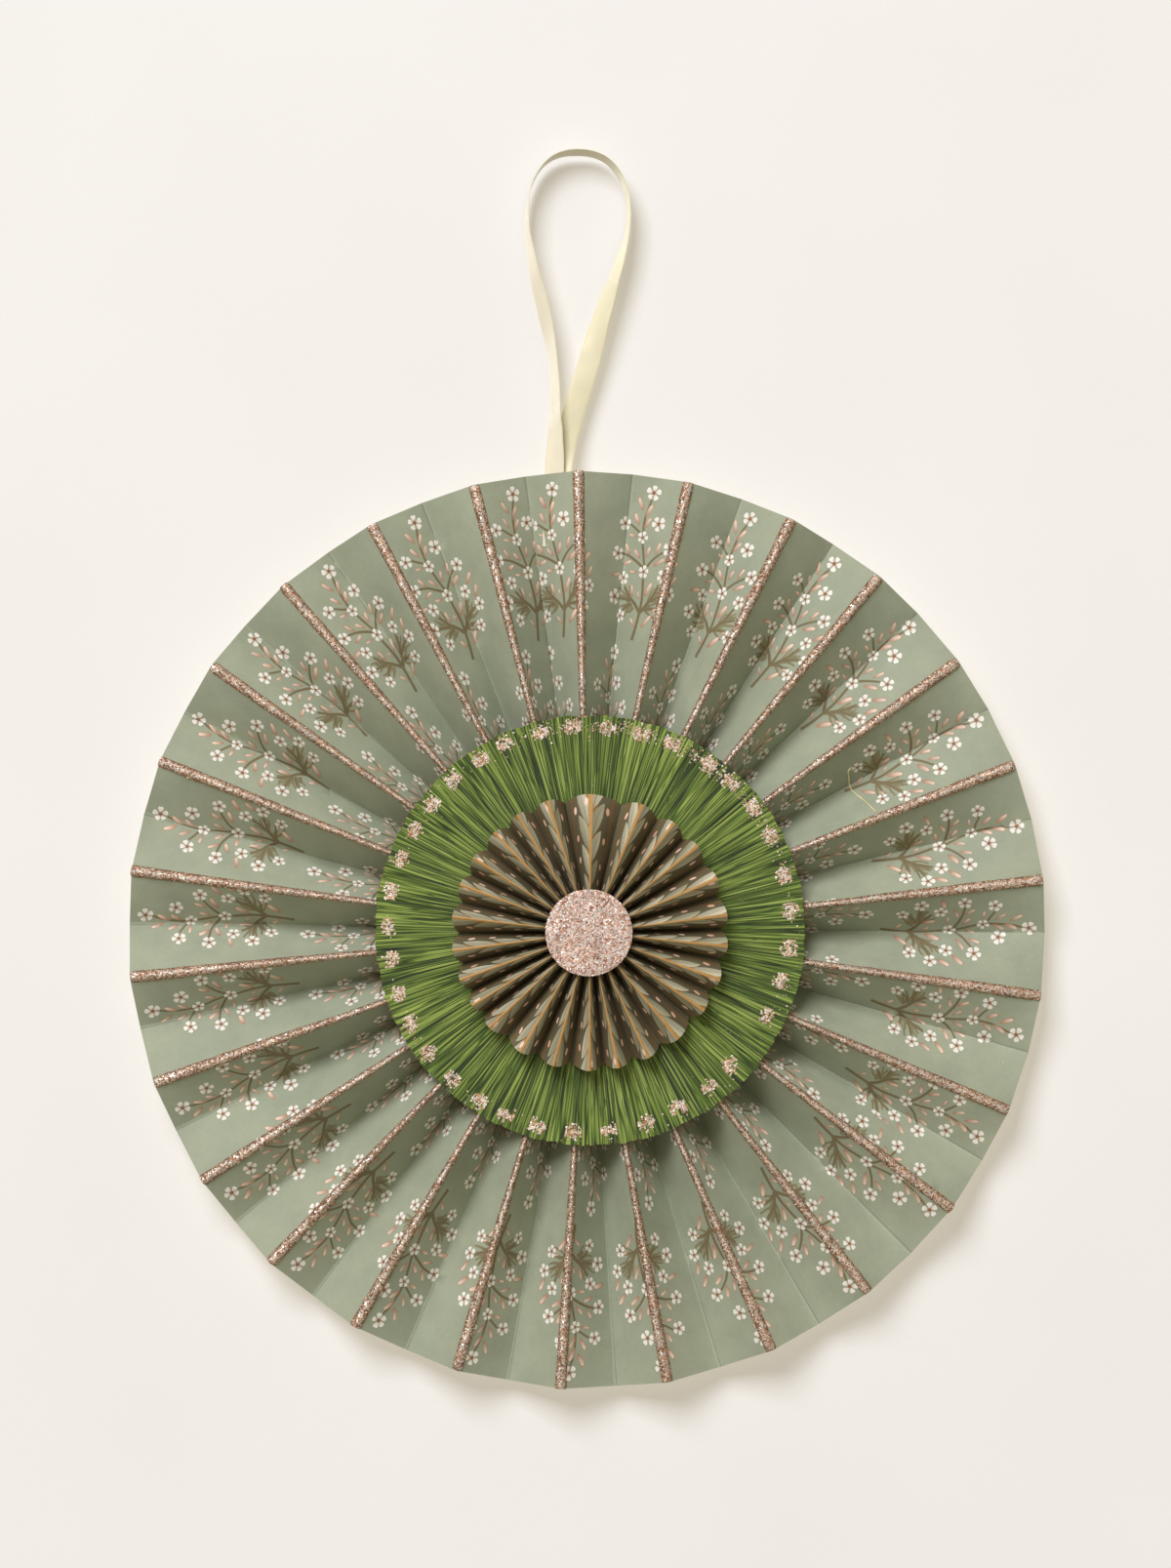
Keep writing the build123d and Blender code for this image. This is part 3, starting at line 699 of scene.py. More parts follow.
# ------------------------------------------------------------------ materials
def paper_material(name, ground_tint, edge_rgb, grain, rough, linen):
    """Printed paper: the cut-in print with mottling, linen grain, worn folds and a painted shade and highlight
    beside each fold.
    """
    m = Mat(name, Roughness=rough)
    co = m.coords()
    flat = m.attr("flat", "Vector")
    front = m.attr("front")
    printed = m.attr("print", "Color")
    # weave-like linen grain: two sets of fine uneven threads
    a = m.noise(m.scaled(flat, 0.55, 4.2), 1.0, 2.0)
    b = m.noise(m.scaled(flat, 4.6, 0.5), 1.0, 2.0)
    threads = m.math("ADD", m.math("MULTIPLY", a, 0.5), m.math("MULTIPLY", b, 0.5))
    cloud = m.noise(m.scaled(flat, 0.11, 0.09), 1.0, 4.0, 0.6)
    speck = m.noise(co, 5.0, 2.0)
    tone = m.math("ADD", m.range(threads, 0.3, 0.7, 1 - linen, 1 + linen),
                  m.range(cloud, 0.3, 0.7, -grain, grain))
    tone = m.math("ADD", tone, m.range(speck, 0.3, 0.7, -0.04, 0.04))
    # painted shade on one side of each fold, painted highlight on the other
    side = m.attr("fold_shade_highlight")
    painted_fold_shade = m.math("MULTIPLY", m.math("MAXIMUM", m.math("MULTIPLY", side, -1.0), 0.0), -0.40)
    painted_fold_highlight = m.math("MULTIPLY", m.math("MAXIMUM", side, 0.0), 0.12)
    tone = m.math("ADD", tone, m.math("ADD", painted_fold_shade, painted_fold_highlight))
    col = m.mix(1.0, printed, m.vmath("MULTIPLY", (1, 1, 1), tone), "MULTIPLY")
    col = m.mix(1.0, col, ground_tint, "MULTIPLY")
    # ink worn off along the fold
    worn = m.math("MULTIPLY", m.attr("crease"),
                  m.range(m.noise(m.scaled(flat, 2.0, 0.8), 1.0, 3.0), 0.45, 0.75, 0.0, 0.16))
    col = m.mix(worn, col, edge_rgb)
    fibres = m.noise(m.vmath("ADD", m.scaled(co, 0.9, 2.6, 0.9),
                             m.noise(co, 0.6, 2.0, out="Color")), 1.0, 4.0, 0.65)
    plain = m.mix(m.range(fibres, 0.35, 0.7), edge_rgb,
                  tuple(c * 0.86 for c in edge_rgb[:3]) + (1,))
    m.put(m.b.inputs["Base Color"], m.mix(front, plain, col))
    m.put(m.b.inputs["Roughness"], m.range(cloud, 0.3, 0.7, rough - 0.06, rough + 0.06))
    h = m.math("ADD", m.math("MULTIPLY", threads, 0.6), m.math("MULTIPLY", fibres, 0.4))
    m.put(m.b.inputs["Normal"], m.bump(h, 0.35, 0.00012))
    return m.m


def glitter_material(name, cell, base, tones, rough=0.24, tilt=1.1, metallic=0.9, crown=False):
    """Packed glitter flakes: each Voronoi cell is one flake with its own tilt and tone."""
    m = Mat(name, Metallic=metallic)
    co = m.coords()
    warp = m.vmath("ADD", co, m.vmath("SCALE", m.noise(co, 2.2, 1.0, out="Color"), scale=0.22))
    colour = m.voronoi(warp, 1.0 / cell, out="Color")
    edge = m.voronoi(warp, 1.0 / cell, feature="DISTANCE_TO_EDGE")
    split = m.node("ShaderNodeSeparateColor", {"Color": colour})
    r, g, b = split.outputs
    if crown:                                    # painted highlight: the tones shift towards the pale, sparkling end along the top of a bead, where it faces the light
        r = m.math("ADD", m.math("MULTIPLY", r, 0.66), m.math("MULTIPLY", m.attr("crown"), 0.34))
    tone = m.ramp(r, tones, "CONSTANT")
    fine = m.voronoi(warp, 2.3 / cell, out="Color")
    tone = m.mix(0.16, tone, m.ramp(m.node("ShaderNodeSeparateColor", {"Color": fine}).outputs[1],
                                    tones, "CONSTANT"))
    gap = m.range(edge, 0.02, 0.10)
    patch = m.range(m.noise(co, 0.35, 3.0), 0.3, 0.7, 0.78, 1.16)
    tone = m.mix(1.0, tone, m.vmath("MULTIPLY", (1, 1, 1), patch), "MULTIPLY")
    m.put(m.b.inputs["Base Color"], m.mix(gap, base, tone))
    m.put(m.b.inputs["Roughness"], m.range(g, 0.0, 1.0, rough * 0.6, rough * 1.9))
    geo = m.node("ShaderNodeNewGeometry").outputs["Normal"]
    off = m.vmath("SCALE", m.vmath("SUBTRACT", colour, (0.5, 0.5, 0.5)), scale=tilt)
    nrm = m.vmath("NORMALIZE", m.vmath("ADD", geo, off))
    m.put(m.b.inputs["Normal"], nrm)
    return m.m


rose_tones = [(0.0, lin((92, 56, 36))), (0.20, lin((138, 93, 65))), (0.40, lin((186, 139, 105))),
              (0.52, lin((224, 185, 153))), (0.62, lin((248, 222, 196))), (0.71, lin((255, 251, 240)))]
champagne_tones = [(0.0, lin((146, 96, 72))), (0.20, lin((214, 168, 144))),
                   (0.36, lin((236, 206, 186))), (0.50, lin((252, 240, 228))),
                   (0.62, lin((255, 254, 250)))]
mat_sage = paper_material("sage_print_paper", (1.0, 1.0, 1.0, 1.0), lin((226, 221, 200)),
                          0.085, 0.72, 0.065)
mat_olive = paper_material("olive_print_paper", (1.0, 1.0, 1.0, 1.0), lin((196, 186, 158)),
                           0.08, 0.62, 0.04)
mat_rose = glitter_material("rose_gold_glitter", 0.42, lin((114, 76, 54)), rose_tones,
                            rough=0.36, tilt=0.8, metallic=0.35, crown=True)
grain_tones = [(0.0, lin((172, 120, 84))), (0.14, lin((226, 186, 152))), (0.28, lin((250, 230, 208))),
               (0.46, lin((255, 246, 232))), (0.62, lin((255, 255, 252)))]
mat_grain = glitter_material("pale_glitter_grains", 0.55, lin((196, 146, 100)), grain_tones,
                             rough=0.35, tilt=0.3, metallic=0.1)
mat_champ = glitter_material("champagne_glitter", 0.40, lin((176, 126, 102)), champagne_tones,
                             rough=0.42, tilt=0.7, metallic=0.35)


def crepe_material():
    m = Mat("green_crepe", Roughness=0.82)
    co = m.coords()
    pol = m.attr("polar", "Vector")              # cos*59, sin*59, radius, in mm
    stretch = m.scaled(pol, 1.0, 1.0, 0.03)
    fine = m.noise(stretch, 1.9, 0.5, 0.5)
    # painted shade: thin dark furrows where a noise stretched along the radius passes its middle value
    f1 = m.math("ABSOLUTE", m.math("SUBTRACT", m.noise(stretch, 0.92, 0.0), 0.5))
    f2 = m.math("ABSOLUTE", m.math("SUBTRACT", m.noise(m.scaled(pol, 1.0, 1.0, 0.04), 1.5, 0.0), 0.5))
    furrow = m.math("MULTIPLY", m.range(f1, 0.0, 0.085, 0.0, 1.0), m.range(f2, 0.0, 0.06, 0.35, 1.0))
    cross = m.noise(m.scaled(pol, 0.5, 0.5, 1.9), 1.0, 2.0)
    blotch = m.noise(co, 0.07, 4.0, 0.6)
    crinkle = m.attr("crinkle")
    t = m.math("ADD", m.math("MULTIPLY", fine, 0.42), m.math("MULTIPLY", furrow, 0.32))
    # painted shade: darker where the crinkled surface dips, lighter where it rises
    t = m.math("ADD", t, m.range(crinkle, 0.0, 1.0, 0.04, 0.27))
    col = m.ramp(t, [(0.36, lin((22, 36, 3))), (0.48, lin((50, 71, 12))),
                     (0.58, lin((74, 98, 24))), (0.67, lin((95, 120, 38))),
                     (0.81, lin((154, 174, 86)))])
    col = m.mix(m.range(blotch, 0.35, 0.65, 0.0, 0.35), col,
                m.mix(1.0, col, lin((244, 240, 190)), "MULTIPLY"))
    seam = m.attr("seam")
    col = m.mix(m.math("MULTIPLY", seam, 0.75), col, lin((40, 58, 20)))
    m.put(m.b.inputs["Base Color"], col)
    m.put(m.b.inputs["Roughness"], m.range(fine, 0.3, 0.7, 0.72, 0.92))
    m.b.inputs["Sheen Weight"].default_value = 0.15
    m.b.inputs["Sheen Roughness"].default_value = 0.6
    h = m.math("ADD", m.math("MULTIPLY", fine, 0.6), m.math("MULTIPLY", cross, 0.2))
    h = m.math("ADD", h, m.math("MULTIPLY", furrow, 0.5))
    m.put(m.b.inputs["Normal"], m.bump(h, 0.9, 0.0004))
    return m.m


def ribbon_material():
    """Satin: fine threads along the band, a denser selvedge with tiny dots at both sides."""
    m = Mat("cream_ribbon", Roughness=0.38)
    rib = m.attr("rib", "Vector")                # along, across in mm
    split = m.node("ShaderNodeSeparateXYZ", {"Vector": rib})
    along, across = split.outputs[0], split.outputs[1]
    ends = m.noise(m.scaled(rib, 0.25, 9.0), 1.0, 2.0)
    weft = m.noise(m.scaled(rib, 5.5, 0.8), 1.0, 2.0)
    cloud = m.noise(m.scaled(rib, 0.12, 0.25), 1.0, 3.0)
    a = m.math("ABSOLUTE", across)
    selvedge = m.range(a, 2.55, 2.68)
    dots = m.math("SINE", m.math("MULTIPLY", along, 2 * PI / 0.55))
    dots = m.math("MULTIPLY", selvedge, m.range(dots, -0.2, 0.7))
    tone = m.math("ADD", m.range(ends, 0.3, 0.7, 0.96, 1.03), m.range(cloud, 0.3, 0.7, -0.03, 0.03))
    # painted light: the right strand gets a slightly darker, yellower copy of the ribbon colour, for how the light
    # falls on it
    col = m.mix(m.attr("strand_light_tint"), lin((232, 226, 204)), lin((229, 224, 196)))
    col = m.mix(1.0, col, m.vmath("MULTIPLY", (1, 1, 1), tone), "MULTIPLY")
    col = m.mix(m.math("MULTIPLY", dots, 0.45), col, lin((196, 184, 140)))
    m.put(m.b.inputs["Base Color"], col)
    m.put(m.b.inputs["Roughness"], m.range(weft, 0.3, 0.7, 0.32, 0.48))
    m.b.inputs["Subsurface Weight"].default_value = 0.85
    m.b.inputs["Subsurface Radius"].default_value = (0.0040, 0.0037, 0.0032)
    m.b.inputs["Sheen Weight"].default_value = 0.35
    m.b.inputs["Sheen Roughness"].default_value = 0.4
    m.b.inputs["Anisotropic"].default_value = 0.4
    h = m.math("ADD", m.math("MULTIPLY", ends, 0.5), m.math("MULTIPLY", weft, 0.5))
    h = m.math("SUBTRACT", h, m.math("MULTIPLY", dots, 0.7))
    m.put(m.b.inputs["Normal"], m.bump(h, 0.45, 0.00006))
    return m.m


def glue_material():
    m = Mat("hot_glue", Roughness=0.22)
    co = m.coords()
    cloud = m.noise(co, 0.3, 4.0, 0.6)
    bubble = m.voronoi(co, 0.9)
    col = m.mix(m.range(cloud, 0.35, 0.65), lin((236, 226, 190)), lin((220, 202, 150)))
    col = m.mix(m.range(bubble, 0.0, 0.22, 0.5, 0.0), col, lin((250, 246, 226)))
    m.put(m.b.inputs["Base Color"], col)
    m.put(m.b.inputs["Roughness"], m.range(cloud, 0.3, 0.7, 0.16, 0.34))
    m.b.inputs["Subsurface Weight"].default_value = 0.25
    m.b.inputs["Subsurface Radius"].default_value = (0.004, 0.003, 0.002)
    m.b.inputs["Coat Weight"].default_value = 0.25
    m.put(m.b.inputs["Normal"], m.bump(m.noise(co, 0.8, 3.0), 0.4, 0.0004))
    return m.m


def card_material():
    m = Mat("plain_card", Roughness=0.86)
    co = m.coords()
    fibre = m.noise(m.vmath("ADD", m.scaled(co, 1.2, 1.2, 4.0),
                            m.noise(co, 0.5, 2.0, out="Color")), 1.0, 5.0, 0.7)
    flecks = m.noise(co, 2.8, 1.0)
    cloud = m.noise(co, 0.06, 3.0)
    col = m.ramp(fibre, [(0.3, lin((170, 148, 116))), (0.5, lin((190, 168, 134))),
                         (0.7, lin((206, 186, 154)))])
    col = m.mix(m.range(flecks, 0.66, 0.74, 0.0, 0.55), col, lin((120, 98, 72)))
    col = m.mix(m.range(cloud, 0.35, 0.65, 0.0, 0.25), col, lin((214, 198, 170)))
    m.put(m.b.inputs["Base Color"], col)
    m.put(m.b.inputs["Roughness"], m.range(fibre, 0.3, 0.7, 0.78, 0.94))
    m.put(m.b.inputs["Normal"], m.bump(fibre, 0.5, 0.00015))
    return m.m


mat_crepe, mat_ribbon = crepe_material(), ribbon_material()
mat_glue, mat_card = glue_material(), card_material()


# ------------------------------------------------------------------ hanging ribbon, the cord
RIBBON_W, RIBBON_T = 6.0, 0.3
# x, y, z; the strand on the left lies a little in front where the two cross
ROUTE = [(-6.9, -2.85, -109.5), (-6.75, -3.7, -99.0), (-6.4, -3.3, -88.5),
         (-6.0, -0.9, -73.5), (-6.5, -0.3, -58.0), (-9.1, 0.0, -44.5), (-12.4, 0.0, -31.5),
         (-14.4, 0.0, -20.0), (-13.5, 0.0, -9.8), (-9.7, 0.0, -3.0), (-4.2, 0.0, 0.15),
         (4.2, 0.0, 0.15), (10.1, 0.0, -3.2), (13.9, 0.0, -10.5), (14.3, 0.0, -20.5),
         (11.4, 0.0, -31.5), (6.9, 0.0, -44.5), (3.3, 0.2, -58.0), (-0.8, 0.3, -71.0),
         (-3.6, -0.6, -81.0), (-4.9, -3.2, -90.5), (-5.1, -4.4, -100.0), (-5.5, -3.75, -109.5)]


def route_points():
    curve = bpy.data.curves.new("ribbon_route", "CURVE")
    curve.dimensions = "3D"
    sp = curve.splines.new("NURBS")
    sp.points.add(len(ROUTE) - 1)
    for p, (x, y, z) in zip(sp.points, ROUTE):
        p.co = (x * MM, y * MM, z * MM, 1.0)
    sp.order_u = 3
    sp.use_endpoint_u = True
    sp.resolution_u = 12
    obj = bpy.data.objects.new("ribbon_route", curve)
    mesh = bpy.data.meshes.new_from_object(obj)
    pts = [tuple(v.co) for v in mesh.vertices]
    bpy.data.objects.remove(obj)
    bpy.data.curves.remove(curve)
    bpy.data.meshes.remove(mesh)
    return pts


path = route_points()
pp = np.array(path) / MM
seg = np.linalg.norm(np.diff(pp, axis=0), axis=1)
arc = np.concatenate([[0], np.cumsum(seg)])
total = arc[-1]
print("ribbon path", len(pp), "points, length", round(total, 1))


def arc_near(x, z):
    return float(arc[np.argmin((pp[:, 0] - x) ** 2 + (pp[:, 2] - z) ** 2)])


# how far the band is turned from edge-on towards the viewer, along its length
TWIST = [(0, 68), (arc_near(-6.75, -99.0), 66), (arc_near(-6.4, -90.5), 62),
         (arc_near(-6.3, -86.5), 60), (arc_near(-6.1, -78.0), 42), (arc_near(-6.0, -72.5), 28),
         (arc_near(-6.6, -57.1), 24), (arc_near(-9.1, -44.4), 36), (arc_near(-10.6, -37.9), 36),
         (arc_near(-12.6, -30.0), 24), (arc_near(-13.9, -20.0), 11), (arc_near(-12.0, -6.5), 1),
         (arc_near(0.0, 0.0), -12), (arc_near(12.0, -6.8), -12), (arc_near(13.9, -20.0), -12),
         (arc_near(11.0, -31.6), -28), (arc_near(7.2, -44.4), -50), (arc_near(3.6, -57.2), -80),
         (arc_near(-0.6, -71.0), -92), (arc_near(-3.4, -81.0), -94), (arc_near(-4.7, -90.5), -76),
         (arc_near(-5.1, -100.0), -68), (total, -68)]
tw_s = np.array([a for a, _ in TWIST])
tw_a = np.array([b for _, b in TWIST])


def twist_at(s):
    k = np.clip(np.searchsorted(tw_s, s) - 1, 0, len(tw_s) - 2)
    f = smooth((s - tw_s[k]) / (tw_s[k + 1] - tw_s[k]))
    return tw_a[k] * (1 - f) + tw_a[k + 1] * f


tang = np.gradient(pp, axis=0)
tang /= np.linalg.norm(tang, axis=1, keepdims=True)
inplane = np.cross(tang, np.array([0, 1.0, 0]))      # to the left of the way it runs
inplane /= np.linalg.norm(inplane, axis=1, keepdims=True)
turn = np.radians(twist_at(arc))[:, None]
# both strands show the viewer the side that faces the light
wide = np.cos(turn) * np.array([0, -1.0, 0]) - np.sin(turn) * inplane
thin = np.cross(tang, wide)
NW = 15
across = np.linspace(-RIBBON_W / 2, RIBBON_W / 2, NW)
cup = 0.10 * (1 - (across / 3.0) ** 2)[None, :] * (0.6 + 0.6 * value_noise(arc / 22.0, 0.5 + 0 * arc, 71))[:, None]
wave = 0.05 * fbm(arc[:, None] / 6.0, across[None, :] / 4.0, 73)
lift = (cup + wave)[..., None]
body = pp[:, None, :] + wide[:, None, :] * across[None, :, None] + thin[:, None, :] * lift
half = RIBBON_T / 2 * np.where(abs(across) > 2.9, 0.55, 1.0)[None, :, None]
top_v = body + thin[:, None, :] * half
bot_v = body - thin[:, None, :] * half
loop_v = np.concatenate([top_v, bot_v[:, ::-1]], axis=1)        # closed section
R, C = loop_v.shape[:2]
faces = [f for f in grid_faces(R, C, wrap=True)]
faces.append(np.arange(C)[::-1])
faces.append(np.arange(C) + (R - 1) * C)
ribbon = new_piece("hanging_ribbon_satin", loop_v.reshape(-1, 3), faces, mat_ribbon)
rib_attr = np.zeros((R, C, 3))
rib_attr[..., 0] = arc[:, None]
rib_attr[..., 1] = np.concatenate([across, across[::-1]])[None, :]
point_attribute(ribbon, "rib", rib_attr.reshape(-1, 3), "FLOAT_VECTOR")
# mask of the right strand, which carries the painted tint for how light falls on it
right_side = smooth((arc - total * 0.52) / 20.0)
point_attribute(ribbon, "strand_light_tint", np.repeat(right_side, C))
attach(ribbon, "root")
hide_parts("hanging_ribbon")


# ------------------------------------------------------------------ big fan: printed strips
def fan_ground(u, v):
    base = np.array(lin((155, 162, 139))[:3])
    t = fbm(u / 23.0, v / 19.0, 31)[..., None]
    return base * (1 + 0.06 * t) * np.array([1, 1, 1]) + np.array([0.004, 0, -0.003]) * t


VS = [8, 12, 16, 21, 27, 33, 39, 45, 51] + list(np.linspace(54.5, 127, 26).round(4))
SHORT_F1 = [-23.4, 8.35, 40.51, 71.54, 103.78, 134.88, 168.09, 201.27, 232.17, 262.97, 294.95,
            326.9]
LONG_F1 = [-11.0, 20.77, 53.44, 85.08, 117.93, 147.88, 180.1, 211.69, 243.87, 275.43, 306.21,
           338.62, 370.29, 402.01, 434.2, 466.3, 497.66, 529.8, 562.7, 594.4]
LAP = PAPER_T + 0.035


def sprigs(starts, u_zero, u_lo, u_hi, seed):
    shapes = []
    for i, u in enumerate(starts):
        shapes += sprig(u_zero + u, 122.7, seed + i, 50.0, u_lo, u_hi)
        shapes += sprig(u_zero + u - 7.4, 122.7 - 45.2, seed + 50 + i, 50.0, u_lo, u_hi)
    return [x for x in shapes if x[1][:, 1].max() > 50.0]


def lap_push(k):
    """The sheet's first panel lies in front of the other strip's tab."""
    def f(u, v):
        g = u / PANEL_W - k
        return LAP * np.clip((1.0 - g) / 0.42, 0, 1) * np.clip((v - 16) / 11, 0, 1)
    return f


u0, u1, uc = (IA + 0.03) * PANEL_W, (IB + fan.n + 0.80) * PANEL_W, (IB + fan.n + 0.36) * PANEL_W
short = sheet("fan_strip_short_printed", fan, u0, u1, VS,
              sprigs(SHORT_F1, IA * PANEL_W, u0, u1, 100), fan_ground, lap_push(IA),
              mat_sage, notch=(uc, 27))
u0, u1, uc = (IB + 0.38) * PANEL_W, (IA + 0.48) * PANEL_W, (IA + 0.0) * PANEL_W
long_ = sheet("fan_strip_long_printed", fan, u0, u1, VS,
              sprigs(LONG_F1, IB * PANEL_W, u0, u1, 200), fan_ground, lap_push(IB),
              mat_sage, notch=(uc, 27))
for obj, node in ((short, "fan_strip_short"), (long_, "fan_strip_long")):
    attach(obj, "root")
    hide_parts(node)


# ------------------------------------------------------------------ glitter glue beads
def flakes(centres, normals, sizes, rng, thick=0.05, spin=None):
    """Little flat double pyramids lying on a surface: one closed piece of glitter each."""
    n = len(centres)
    a = np.cross(normals, rng.normal(size=(n, 3)))
    a /= np.linalg.norm(a, axis=1, keepdims=True)
    b = np.cross(normals, a)
    ang = np.arange(3) * 2 * PI / 3
    ring = (centres[:, None] + sizes[:, None, None] * (a[:, None] * np.cos(ang)[None, :, None]
                                                       + b[:, None] * np.sin(ang)[None, :, None]))
    top = centres + normals * thick
    bot = centres - normals * thick
    v = np.concatenate([ring, top[:, None], bot[:, None]], axis=1).reshape(-1, 3)
    f = np.array([(0, 1, 3), (1, 2, 3), (2, 0, 3), (1, 0, 4), (2, 1, 4), (0, 2, 4)])
    f = (f[None] + (np.arange(n) * 5)[:, None, None]).reshape(-1, 3)
    return v, f


def tilted(normals, amount, rng):
    n = normals + rng.normal(size=normals.shape) * amount
    return n / np.linalg.norm(n, axis=1, keepdims=True)


def bead(k, seed):
    rng = np.random.default_rng(seed)
    end = 127.0 + rng.uniform(-0.45, 0.25)
    v = np.linspace(52.0, end, 100)
    hw = np.interp(v, [52, 72, 100, 127], [0.62, 0.84, 1.22, 1.5])
    hw = hw * (1 + 0.07 * fbm(v / 5.3, 0 * v + k * 7.3, seed)
               + 0.04 * value_noise(v / 1.1, 0 * v + k, seed + 5))
    tall = np.interp(v, [52, 72, 100, 127], [0.62, 0.72, 0.82, 0.9])
    tall = tall * (1 + 0.28 * fbm(v / 2.6, 0 * v + k * 3.1, seed + 9))
    cap = np.sqrt(np.clip((end - v) / 0.9, 0.03, 1))
    hw, tall = hw * (0.85 + 0.15 * cap), tall * (0.35 + 0.65 * cap)
    chord = 2 * v * np.sin(np.radians((fan.angle(k + 1) - fan.angle(k - 1)) / 4))
    s = np.linspace(-1, 1, 13)
    drift = 0.07 * fbm(v / 9.0, 0 * v + k * 1.9, seed + 21)
    u = k * PANEL_W + (s[None, :] * hw[:, None] + drift[:, None]) * (PANEL_W / chord)[:, None]
    vv = np.broadcast_to(v[:, None], u.shape)
    lap = np.zeros_like(u)
    if k == IA + 1:
        lap = lap_push(IA)(u, vv) * (u < k * PANEL_W)
    if k == IB + 1:
        lap = lap_push(IB)(u, vv) * (u < k * PANEL_W)
    n = fan.normal(u, vv)
    m = fan.mid(u, vv) + n * (PAPER_T / 2 + lap)[..., None] + fan.c
    up = fan.normal(np.full_like(v, k * PANEL_W), v)
    lump = 0.10 * value_noise(s[None, :] * hw[:, None] / 0.42, vv / 0.42, seed + 33)
    h = tall[:, None] * (0.8 * np.sqrt(1 - s ** 2) + 0.2 * (1 - s ** 2))[None, :]
    h = h + lump * np.sqrt(1 - s ** 2)[None, :]
    top = m + n * 0.045 + up[:, None, :] * np.maximum(h, 0)[..., None]
    sb = [0, 3, 6, 9, 12]
    bot = m[:, sb] + n[:, sb] * 0.012
    R, C, B = len(v), len(s), len(sb)
    verts = np.concatenate([top.reshape(-1, 3), bot.reshape(-1, 3)])
    f = list(grid_faces(R, C)[:, ::-1])
    f += list(grid_faces(R, B, base=R * C))
    r = np.arange(R - 1)
    f += list(np.stack([r * C, (r + 1) * C, R * C + (r + 1) * B, R * C + r * B], 1)[:, ::-1])
    f += list(np.stack([r * C + C - 1, R * C + r * B + B - 1, R * C + (r + 1) * B + B - 1,
                        (r + 1) * C + C - 1], 1)[:, ::-1])
    f.append(np.array(list(range(C)) + [R * C + j for j in range(B)][::-1]))
    e, g = (R - 1) * C, R * C + (R - 1) * B
    f.append(np.array((list(range(e, e + C)) + [g + j for j in range(B)][::-1])[::-1]))
    # flakes lying on it at all angles
    n_fl = 420
    ri = (rng.uniform(0.1, 1, n_fl) ** 0.75 * (R - 2)).astype(int)
    ci = rng.integers(1, C - 1, n_fl)
    jit = rng.normal(size=(n_fl, 3)) * 0.05
    nn = tilted(0.6 * n[ri, ci] + 0.4 * up[ri], 0.42, rng)
    fv, ff = flakes(top[ri, ci] + jit, nn, rng.uniform(0.14, 0.26, n_fl), rng)
    highlight_weight = np.concatenate([np.tile(1 - s ** 2, R), np.zeros(R * B)])
    return (verts, f), (fv, ff), highlight_weight, np.repeat((1 - s ** 2)[ci], 5)


bead_parts, flake_parts, bead_highlight_weights, flake_highlight_weights = [], [], [], []
for k in range(fan.n):
    if fan.ridge[k]:
        b, fl, pk, fpk = bead(k, 1000 + k)
        bead_parts.append(b)
        flake_parts.append(fl)
        bead_highlight_weights.append(pk)
        flake_highlight_weights.append(fpk)
beads = new_piece("ridge_glitter_beads", *merge(bead_parts), mat_rose)
bead_flakes = new_piece("ridge_glitter_flakes", *merge(flake_parts), mat_rose, False)
# crown is 1 along the top of each bead and 0 at its sides: it places the bead's painted highlight
point_attribute(beads, "crown", np.concatenate(bead_highlight_weights))
point_attribute(bead_flakes, "crown", np.concatenate(flake_highlight_weights))
for obj in (beads, bead_flakes):
    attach(obj, "root")
    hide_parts("ridge_glitter")


# ------------------------------------------------------------------ crepe disc
CREPE_FRONT = -13.59
A_N = 2160
theta = np.arange(A_N) * 2 * PI / A_N
deg = np.degrees(theta)
rads = np.array([4.0, 10, 18, 26, 32] + list(np.linspace(35, 59.4, 17)))


def crinkle(th, r):
    """Gathers of the paper: sharp narrow furrows, rounded between, that fork and meet."""
    x = th / (2 * PI)
    warp = 0.8 * value_noise(x * 60, r / 22.0, 301, period=60)
    a = value_noise(x * 340 + warp, r / 44.0, 303, period=340)
    b = value_noise(x * 560 + warp, r / 38.0, 305, period=560)
    c = value_noise(x * 72, r / 20.0, 307, period=72)
    a = np.minimum(np.abs(a) * 2.6, 1.0) ** 0.6
    b = np.minimum(np.abs(b) * 2.4, 1.0) ** 0.7
    return 0.75 * a + 0.50 * b + 0.18 * c - 0.74


T, Rr = np.meshgrid(theta, rads, indexing="ij")
cr = crinkle(T, Rr)
fade = np.clip(Rr / 30.0, 0.3, 1.0)
D = np.degrees(T)
flap = np.where(D < 126.0, smooth(1 - (126.0 - D) / 7.0), 0.0) * (D > 100) * smooth((Rr - 12) / 6)
groove = np.exp(-((D - 137.4) / 0.30) ** 2)
yf = CREPE_FRONT + 0.34 - 0.23 * cr * fade - 0.20 * flap + 0.10 * groove
yb = np.full_like(yf, CREPE_FRONT + 0.70) - 0.03 * value_noise(T * 30 / PI, Rr / 5.0, 311, period=60)
edge = 59.4 * (1 + 0.0045 * cr[:, -1:] + 0.0035 * value_noise(T * 60 / PI, 0 * T, 313, period=120)
               + 0.003 * value_noise(T * 190 / PI, 0 * T, 315, period=380) - 0.004)
rr = np.where(Rr > 58, edge, Rr)


def polar_points(th, r, y, c):
    return np.stack([np.sin(th) * r + c[0], y, np.cos(th) * r + c[2]], -1)


